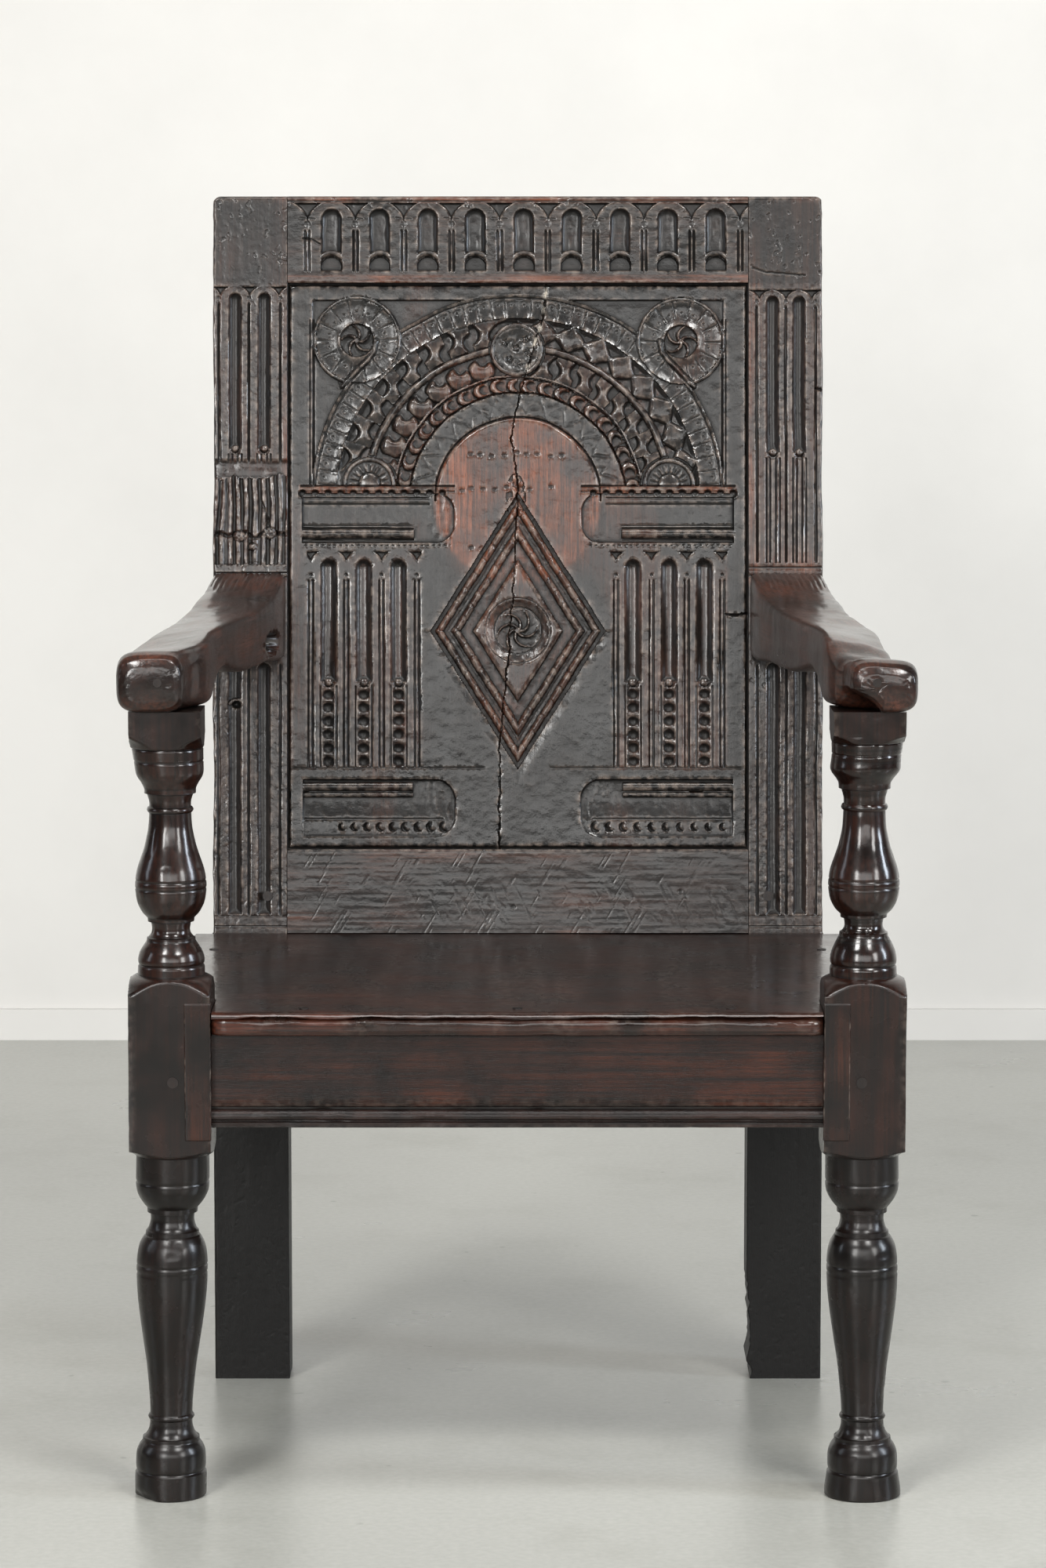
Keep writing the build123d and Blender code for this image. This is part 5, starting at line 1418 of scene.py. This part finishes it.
# ---------------------------------------------------------------- arms
# Stations of an arm: depth behind the face of the posts, inner and outer side,
# underside, top at the inner and the outer side, and squareness of the section.
ARM_STATIONS = (
    (-11.9, 285.5, 313.5, 676.0, 694.0, 694.0, 2.6),
    (-11.2, 279.5, 319.5, 669.5, 701.0, 700.0, 2.9),
    (-8.5, 274.0, 324.5, 664.6, 706.5, 705.0, 3.3),
    (-3.0, 271.2, 327.0, 661.6, 710.0, 708.4, 3.6),
    (6.0, 270.2, 327.4, 661.0, 712.0, 710.5, 4.0),
    (22.0, 267.4, 327.2, 661.0, 712.2, 709.0, 4.4),
    (36.0, 261.0, 326.6, 661.0, 713.0, 707.4, 5.0),
    (50.0, 256.6, 325.2, 661.0, 714.4, 706.5, 6.0),
    (66.0, 254.6, 323.4, 661.0, 716.4, 706.0, 8.0),
    (85.0, 253.8, 320.4, 661.2, 718.0, 706.6, 10.0),
    (102.0, 253.4, 317.6, 663.6, 719.4, 708.0, 11.0),
    (116.0, 253.0, 315.4, 669.0, 719.8, 709.4, 11.0),
    (130.0, 251.8, 312.8, 676.0, 720.0, 710.6, 11.0),
    (160.0, 248.0, 308.0, 683.5, 720.0, 713.0, 12.0),
    (200.0, 241.5, 301.0, 677.5, 720.0, 715.0, 12.0),
    (245.0, 234.5, 294.5, 672.0, 720.4, 717.6, 12.0),
    (300.0, 226.0, 289.0, 671.5, 721.5, 721.5, 12.0),
    (350.0, 219.5, 285.0, 671.0, 724.5, 727.0, 12.0),
    (400.0, 214.5, 282.0, 667.0, 730.0, 731.5, 12.0),
    (440.0, 212.0, 280.0, 664.5, 737.0, 737.0, 12.0),
    (500.0, 211.0, 278.4, 663.5, 741.0, 741.0, 12.0))


def hole_in_arm(along, z):
    """0 in the middle of the torn hole in the left arm, and 1 on its outline."""
    return np.hypot((along - 372.0) / 46.0, (z - 686.0) / 11.5)


def arm_places(side, lap, part):
    """Places on an arm: lap runs once round it, from 0 to 8, and part from front to rear."""
    stations = np.array(ARM_STATIONS)
    depth = stations[:, 0]
    # rings crowd together towards the rounded end of the handhold
    along = depth[0] + (depth[-1] - depth[0]) * (0.12 * part + 0.88 * part ** 1.9)
    station = np.interp(along, depth, np.arange(len(depth)))
    values = [smooth_between(stations[:, column], station) for column in range(1, 7)]
    inner, outer, foot, top_in, top_out, full = values
    # once round a square, drawn in to the rounded section
    square_x = np.clip(np.abs((lap + 3.0) % 8.0 - 4.0) - 2.0, -1.0, 1.0)
    square_z = np.clip(np.abs((lap + 1.0) % 8.0 - 4.0) - 2.0, -1.0, 1.0)
    draw = (np.abs(square_x) ** full + np.abs(square_z) ** full) ** (-1.0 / full)
    unit_x = square_x * draw
    unit_z = square_z * draw
    x = (inner + outer) / 2 + unit_x * (outer - inner) / 2
    lean_part = (unit_x + 1.0) / 2
    top = top_in + (top_out - top_in) * lean_part
    if side > 0:
        hand = fading(along, 40.0, 70.0)
        top = top - 6.5 * hand
        low_corner = unit(-unit_x - unit_z - 1.05) * fading(along, 14.0, 36.0)
        x = x + 16.0 * low_corner
        foot = foot + 14.0 * low_corner
        neck = eased(along, 6.0, 30.0) * fading(along, 60.0, 200.0)
        x = x - 14.0 * neck * eased(unit_x, -0.2, 0.9)
        top = top - 3.5 * np.exp(-((along - 27.0) / 9.0) ** 2)
    z = (foot + top) / 2 + unit_z * (top - foot) / 2
    bumps = 0.5 * drift(x, along, 26, 40, 230 + side) + 0.25 * drift(z + x, along, 9, 12, 232)
    x = x - unit_x * (np.maximum(bumps, -0.2) + 0.45)
    z = z - np.maximum(unit_z, 0.0) * np.maximum(bumps + 0.3, 0.0)
    around_peg = np.hypot(x - POST_X - 6.5, z - 684.5)
    marks = 0.9 * eased(-np.abs(around_peg - 4.6), -1.3, 0.0) + 0.7 * fading(around_peg, 0.5, 1.8)
    marks = marks + 0.35 * eased(drift(x + 0.7 * z, z, 6.0, 4.0, 245), 0.3, 0.9)
    along = along + marks * (along < -5.0)
    if side < 0:
        hole = hole_in_arm(along, z) + 0.25 * drift(z, along, 4, 9, 246)
        x = x + 15.0 * fading(hole, 0.55, 1.0) * (unit_x < -0.5)
    stroke = unit(np.cos(2.0 * math.pi * (x + 0.05 * along) / 5.2))
    z = z - 0.9 * stroke * eased(along, 385.0, 425.0) * (unit_z > 0.5)
    return np.stack([side * x, POST_FRONT + along, z], axis=-1)


def make_arm(side, node_name):
    """Open arm: pillow-shaped handhold, hollowed underside and a deep rear end."""
    name = f"{node_name}_shaped"
    mesh, lap, part = flat_grid(name, 176, 280)
    write_places(mesh, arm_places(side, lap * 8.0, part))
    shell = unmeshed(mesh)
    bmesh.ops.remove_doubles(shell, verts=shell.verts, dist=1e-6)
    # trimmed to the raked face of the stile
    start = Vector(lean(np.zeros(1), np.zeros(1), np.zeros(1))[0]) * MM
    sliced(shell, start, Vector((0.0, math.cos(RAKE), -math.sin(RAKE))), True)
    sealed(shell, open_edges(shell))
    shell.to_mesh(mesh)
    shell.free()
    x, y, z = read_places(mesh).T
    behind = y - POST_FRONT
    write_board(mesh, np.stack([x + 0.13 * side * behind, z, y], axis=-1))
    cloud = cloudy(x + z, behind, 15, 45, 240 + side)
    nose = eased(-behind, -6.0, 8.0)
    red = 0.10 + 0.30 * cloud + 0.4 * nose * eased(np.abs(z - 686.0), 10.0, 22.0)
    # painted shade along the underside of the arm, and painted shadow inside the torn hole; the pale broken
    # wood is its own colour
    hollow = 0.5 * fading(z, 662.0, 664.5)
    if side < 0:
        torn = eased(-hole_in_arm(behind, z), -1.05, -0.7) * (x > -241.0)
        hollow = np.maximum(hollow, torn)
        fibres = eased(drift(behind, z, 9, 3, 247), -0.2, 0.2)
        write_looks(mesh, pale=0.14 * torn * fibres * (z < 686.0))
    write_looks(mesh, red=red, edge=0.0, hollow=hollow)
    return show(name, mesh, arm_oak, (node_name,), 50.0)


def smooth_between(values, station):
    """Values at fractional stations, drawn smooth through the whole ones."""
    last = len(values) - 1
    low = np.clip(np.floor(station).astype(int), 0, last - 1)
    part = station - low
    before = values[np.clip(low - 1, 0, last)]
    after = values[np.clip(low + 2, 0, last)]
    return bent(before, values[low], values[low + 1], after, part)


make_arm(-1, "left_arm")
make_arm(1, "right_arm")


# ---------------------------------------------------------------- seat board
SEAT_NOSE = -290.77
SEAT_NOSE_HALF = POST_INNER - 0.5
SEAT_SIDE = 319.0
SEAT_REAR = 293.0


def seat_shell():
    """The seat board, square-edged: notched round the posts, its tongue between the stiles."""
    behind_post = POST_FRONT + POST_SQUARE + 0.5
    before_stile = STILE_FRONT - 0.5
    tongue = STILE_INNER - 0.5
    back = STILE_FRONT + 32.0
    shell = bmesh.new()
    spots = {}
    for side in (-1, 1):
        for key, x, y in (("nose", SEAT_NOSE_HALF, SEAT_NOSE), ("notch", SEAT_NOSE_HALF, behind_post),
                          ("side", SEAT_SIDE, behind_post), ("rear", SEAT_REAR, before_stile),
                          ("tongue", tongue, before_stile), ("back", tongue, back)):
            spots[key, side] = shell.verts.new((side * x * MM, y * MM, SEAT * MM))
    for keys in (("nose", "notch"), ("side", "rear"), ("tongue", "back")):
        left = [spots[key, -1] for key in keys]
        right = [spots[key, 1] for key in keys]
        if keys[0] == "side":
            left = [spots["notch", -1]] + left + [spots["tongue", -1]]
            right = [spots["notch", 1]] + right + [spots["tongue", 1]]
        shell.faces.new(left + right[::-1])
    step = 7.0 * FINE
    for axis, low, high in ((0, -SEAT_SIDE, SEAT_SIDE), (1, SEAT_NOSE, back)):
        for place in np.arange(low + step / 2, high, step):
            way = Vector((1.0 - axis, axis, 0.0))
            sliced(shell, way * (place * MM), way)
    for place in (0.6, 1.6, 3.0, 5.0, 7.6, 11.0, 15.0):
        sliced(shell, (0, (SEAT_NOSE + place) * MM, 0), (0, 1, 0))
    rim = open_edges(shell)
    for drop in (1.0, 2.6, 5.0, 8.0, 12.0, 15.0, 17.5, 19.2, SEAT_THICKNESS):
        rim, corners = drawn_out(shell, rim)
        for corner in corners:
            corner.co.z = (SEAT - drop) * MM
    sealed(shell, rim)
    return shell


def make_seat():
    """Seat board worn hollow on top and chipped along its nose."""
    name = "seat_board_worn"
    mesh = meshed(name, seat_shell())
    x, y, z = read_places(mesh).T
    down = SEAT - z
    behind = y - SEAT_NOSE
    worn = 0.45 + 0.35 * drift(x, y, 130, 90, 251) + 0.12 * drift(x, y, 24, 60, 252)
    dip = 1.3 * np.exp(-((x / 150.0) ** 2 + ((y + 90.0) / 140.0) ** 2))
    roll = 7.5 + 1.8 * ripple(x, 40, 253) + 1.0 * ripple(x, 11, 254)
    round_over = arris(-behind, np.maximum(roll, 5.0)) * 0.8
    z = np.where(down < 0.5, z - np.maximum(worn, 0.05) - dip + round_over, z)
    lip_wave = 0.8 + 0.6 * ripple(x, 60, 258)
    upper = 1.0 - np.sqrt(unit(1.0 - unit(1.0 - down / 8.5) ** 2))
    lower = 1.0 - np.sqrt(unit(1.0 - unit((down - 15.0) / 5.0) ** 2))
    chips = 0.9 * eased(drift(x, z, 13, 5, 255), 0.35, 0.9) + 0.5 * drift(x, z, 24, 6, 259) ** 2
    ends = 5.0 * eased(np.abs(x), SEAT_NOSE_HALF - 10.0, SEAT_NOSE_HALF) ** 2
    inward = np.where(behind < 0.3, 4.6 * upper + 3.0 * lower + chips + lip_wave + ends, 0.0)
    sunken = np.where((behind < 0.3) & (down > 0.5), 5.6 * eased(-down, -11.0, 0.0), 0.0)
    z = z - sunken
    y = y + inward
    write_places(mesh, np.stack([x, y, z], axis=-1))
    write_board(mesh, np.stack([y + 700.0, z, x], axis=-1))
    nose = fading(behind, 6.0, 34.0)
    cloud = cloudy(x, y, 90, 16, 256)
    red = unit(0.05 + (0.16 * nose + 0.25 * eased(-y, 60.0, 230.0)) * cloud)
    # painted highlight along the rounded nose
    glint = fading(np.abs(down - 5.5), 0.5, 3.5) * (behind < 4.0) + 0.4 * fading(behind, 3.0, 9.0)
    # polish rubbed into streaks from back to front, shown also as pale and dark streaks of painted
    # reflection in the colour
    streaks = 0.6 * drift(x, y, 9, 170, 273) + 0.6 * drift(x, y, 38, 260, 274)
    streaks = streaks * (behind > 3.0) * (down < 5.0)
    pale = 0.5 * unit(streaks) * eased(-y, -150.0, 120.0)
    glint = 0.5 * glint * eased(drift(x, y, 20, 30, 257), -0.3, 0.6)
    # darker towards the back edge of the board, and dark streaks of painted reflection
    hollow = np.maximum(0.35 * eased(y, 120.0, 160.0), 0.45 * unit(-streaks))
    write_looks(mesh, red=red, edge=np.maximum(glint, pale), hollow=hollow)
    return show(name, mesh, seat_oak, ("seat_board",), 40.0)


make_seat()


# ---------------------------------------------------------------- front rail
# outline of the front rail: depth behind its face and height, from its top down and round
RAIL_MOULDING = ((0.0, 394.0), (0.0, 334.6), (0.6, 333.8), (2.6, 333.0), (2.6, 331.2),
                 (-0.2, 330.0), (-1.8, 328.4), (-2.8, 326.0), (-2.4, 323.6), (-0.6, 322.4),
                 (1.2, 322.0), (1.2, 321.0), (-0.2, 320.4), (-0.2, 316.8), (0.8, 316.0),
                 (28.0, 316.0), (28.0, 394.0))


def front_rail_shell(face):
    """The front seat rail with a groove, a bead and a fascia run along its foot."""
    outline = [(face + depth, height) for depth, height in RAIL_MOULDING]
    shell = bmesh.new()
    start = -POST_INNER
    corners = [shell.verts.new((start * MM, y * MM, z * MM)) for y, z in outline]
    edges = [shell.edges.new(pair) for pair in zip(corners, corners[1:] + corners[:1])]
    steps = 120
    for _ in range(steps):
        edges, moved = drawn_out(shell, edges)
        bmesh.ops.translate(shell, verts=moved, vec=(2 * POST_INNER * MM / steps, 0, 0))
    bmesh.ops.holes_fill(shell, edges=open_edges(shell), sides=0)
    flat = [edge for edge in shell.edges
            if abs(edge.verts[0].co.y - face * MM) < 1e-6 and abs(edge.verts[1].co.y - face * MM) < 1e-6
            and abs(edge.verts[0].co.z - edge.verts[1].co.z) > 0.04]
    bmesh.ops.subdivide_edges(shell, edges=flat, cuts=6)
    bmesh.ops.recalc_face_normals(shell, faces=shell.faces)
    return shell


def make_front_rail():
    """Front seat rail, its face worn and its bead chipped."""
    name = "front_seat_rail_moulded"
    face = POST_FRONT + 8.0
    mesh = meshed(name, front_rail_shell(face))
    places = read_places(mesh)
    x, y, z = places.T
    front = y < face + 5.0
    wave = 0.45 + 0.4 * drift(x, z, 60, 40, 261) + 0.25 * drift(x, z, 11, 7, 262)
    wave = wave + 0.9 * eased(drift(x, z, 16, 9, 263), 0.6, 0.95) * (z < 332.0)
    places[:, 1] = y + np.where(front, np.maximum(wave, 0.0), 0.0)
    write_places(mesh, places)
    write_board(mesh, np.stack([z + 300.0, y, x], axis=-1))
    cloud = cloudy(x, z, 70, 10, 264)
    # painted highlight along the edge over the groove and at the foot of the fascia, with their wear
    arrises = 0.45 * fading(np.abs(z - 334.0), 0.2, 1.4) + 0.3 * (np.abs(z - 316.8) < 0.6)
    grime = 0.22 + 0.3 * unit(drift(x, z, 120, 9, 275))
    # hollow look: painted shade in the groove above the bead, over grime that varies along the rail
    write_looks(mesh, red=0.06 + 0.55 * cloud ** 2 * (z > 334.0), edge=arrises,
                hollow=np.maximum(0.8 * fading(np.abs(z - 332.0), 0.6, 1.6) * front, grime))
    return show(name, mesh, rail_oak, ("front_seat_rail",), 40.0)


make_front_rail()


def make_post_strip(node_name):
    """Strip let into a post beside its tenon, its outer arris worn round and polished."""
    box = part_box(node_name)
    shell = box_between(*box)
    low, high = [[value / MM for value in corner] for corner in box]
    bmesh.ops.bevel(shell, geom=list(shell.edges), offset=1.4 * MM, segments=3, profile=0.6,
                    affect="EDGES")
    tall = [edge for edge in shell.edges if abs(edge.verts[0].co.z - edge.verts[1].co.z) > 50.0 * MM]
    bmesh.ops.subdivide_edges(shell, edges=tall, cuts=40)
    wide = [edge for edge in shell.edges if abs(edge.verts[0].co.x - edge.verts[1].co.x) > 8.0 * MM]
    bmesh.ops.subdivide_edges(shell, edges=wide, cuts=9, use_grid_fill=True)
    bmesh.ops.recalc_face_normals(shell, faces=shell.faces)
    mesh = meshed(f"{node_name}_worn", shell)
    places = read_places(mesh)
    x, y, z = places.T
    front = y < low[1] + 2.0
    outer = np.minimum(np.abs(x - low[0]), np.abs(x - high[0])) < 0.9
    places[:, 1] = y - np.where(front, 0.7 + 0.3 * drift(z, x, 21, 30, 270), 0.0)
    write_places(mesh, places)
    write_board(mesh, np.stack([x, y, z], axis=-1))
    write_looks(mesh, red=0.24 + 0.22 * drift(x, z, 7, 40, 271), hollow=0.35,
                edge=0.9 * outer * front * eased(ripple(z, 16, 272), -0.8, 0.4))
    return show(f"{node_name}_worn", mesh, strip_oak, (node_name,))


make_post_strip("left_post_strip")
make_post_strip("right_post_strip")

# ---------------------------------------------------------------- finish of the plain pieces
for node_name, material in (("rear_seat_rail", rail_oak_cross), ("left_side_seat_rail", rail_oak_deep),
                            ("right_side_seat_rail", rail_oak_deep)):
    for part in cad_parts[node_name].material_slots:
        part.material = material
for node_name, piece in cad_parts.items():
    if node_name.endswith("_pegs"):
        for part in piece.material_slots:
            part.material = peg_oak


# ---------------------------------------------------------------- room, light and camera
def plain(name, code, roughness, grit=0.0):
    """A plain studio surface with faint cloudiness and, if wanted, grit."""
    material, tree, shader = new_material(name)
    place = node(tree, "TexCoord").outputs["Object"]
    clouds = noise(tree, place, 1.3, 6.0, 0.65)
    low = linear(code)
    high = tuple(min(1.0, c * 1.10) for c in low[:3]) + (1.0,)
    tone = blended(tree, low, high, ranged(tree, clouds, 0.35, 0.65))
    sheen = roughness
    if grit:
        grains = ranged(tree, noise(tree, place, 150.0, 4.0), 0.3, 0.7, 0.0, 0.4 * grit)
        specks = ranged(tree, noise(tree, place, 42.0, 1.0), 0.76, 0.80, 0.0, grit)
        stains = ranged(tree, noise(tree, place, 5.0, 6.0, 0.7), 0.5, 0.75, 0.0, grit)
        for colour, part in (("#5f5f5a", grains), ("#55554f", specks), ("#7f7e76", stains)):
            tone = blended(tree, tone, linear(colour), part)
        sheen = ranged(tree, clouds, 0.3, 0.7, roughness - 0.03, roughness + 0.07)
    fed(tree, shader, {"Base Color": tone, "Roughness": sheen})
    return material


def room_box(name, low, high, material):
    """A box of the room between two corners, in metres."""
    mesh = meshed(name, box_between(low, high))
    mesh.materials.append(material)
    return linked(name, mesh)


def open_behind(backdrop):
    """Leave only the front face of a wall and clear its back, so the chair shows from behind."""
    shell = unmeshed(backdrop.data)
    shell.normal_update()
    hidden = [face for face in shell.faces if face.normal.y > -0.5]
    bmesh.ops.delete(shell, geom=hidden, context="FACES")
    shell.to_mesh(backdrop.data)
    shell.free()
    tree = backdrop.data.materials[0].node_tree
    behind = node(tree, "NewGeometry").outputs["Backfacing"]
    clear = node(tree, "BsdfTransparent").outputs[0]
    paint = tree.nodes["Principled BSDF"].outputs[0]
    surface = node(tree, "MixShader", {0: behind, 1: paint, 2: clear}).outputs[0]
    tree.links.new(surface, tree.nodes["Material Output"].inputs["Surface"])


WALL_Y = 2.064
wall_paint = plain("white_wall_paint", "#bfbdb9", 0.7)
# power-floated concrete: cloudy, with sand grains and a few dark specks
concrete = plain("polished_concrete", "#9a9a94", 0.28, 0.5)
floor = room_box("studio_floor", (-5.0, -9.0, -0.02), (5.0, WALL_Y + 0.1, 0.0), concrete)
wall = room_box("studio_wall", (-5.0, WALL_Y, 0.0), (5.0, WALL_Y + 0.1, 4.5), wall_paint)
open_behind(wall)
skirting = room_box("studio_skirting", (-5.0, WALL_Y - 0.012, 0.0), (5.0, WALL_Y, 0.040), wall_paint)


def soft_light(name, place, width, height, power, tint):
    """A soft rectangular light turned towards the middle of the chair."""
    lamp = bpy.data.lights.new(name, "AREA")
    lamp.shape = "RECTANGLE"
    lamp.size = width
    lamp.size_y = height
    lamp.energy = power
    lamp.color = tint
    made = linked(name, lamp)
    made.location = place
    made.rotation_euler = (HEART - Vector(place)).to_track_quat("-Z", "Y").to_euler()


HEART = Vector((0.0, 0.0, 0.7))
WHITE = (1.0, 0.99, 0.97)
BLUE = (0.80, 0.89, 1.0)
# name, place, width, height, power and tint of each light
LIGHTS = (
    ("left_skylight", (-1.7, -3.1, 4.0), 0.9, 0.8, 115.0, WHITE),
    ("right_skylight", (1.7, -3.1, 4.0), 0.9, 0.8, 115.0, WHITE),
    ("overhead", (0.0, -1.0, 4.3), 3.0, 0.9, 85.0, WHITE),
    ("far_daylight", (0.0, -6.4, 1.85), 6.0, 1.4, 130.0, WHITE),
    ("left_lamp", (-2.3, -5.2, 1.9), 1.0, 1.7, 125.0, WHITE),
    ("right_lamp", (3.4, -3.9, 1.9), 1.0, 1.7, 95.0, WHITE),
    ("left_window", (-3.6, -0.7, 1.6), 0.6, 1.6, 14.0, BLUE),
    ("right_window", (3.6, -0.9, 1.6), 0.6, 1.6, 80.0, BLUE))
for light in LIGHTS:
    soft_light(*light)

world = bpy.data.worlds.new("studio_daylight")
world.use_nodes = True
sky = {"Color": (0.95, 0.97, 1.0, 1.0), "Strength": 0.08}
fed(world.node_tree, world.node_tree.nodes["Background"], sky)
bpy.context.scene.world = world

camera = linked("camera", bpy.data.cameras.new("camera"))
camera.data.sensor_fit = "VERTICAL"
camera.data.sensor_height = 36.0
camera.data.sensor_width = 24.0
camera.data.lens = 6364.0 / 2000.0 * 36.0
camera.location = (0.0047, -4.3388, 1.067)
camera.rotation_euler = (math.radians(90.0 - 6.54), 0.0, 0.0)
bpy.context.scene.camera = camera
bpy.context.scene.view_settings.view_transform = "Standard"
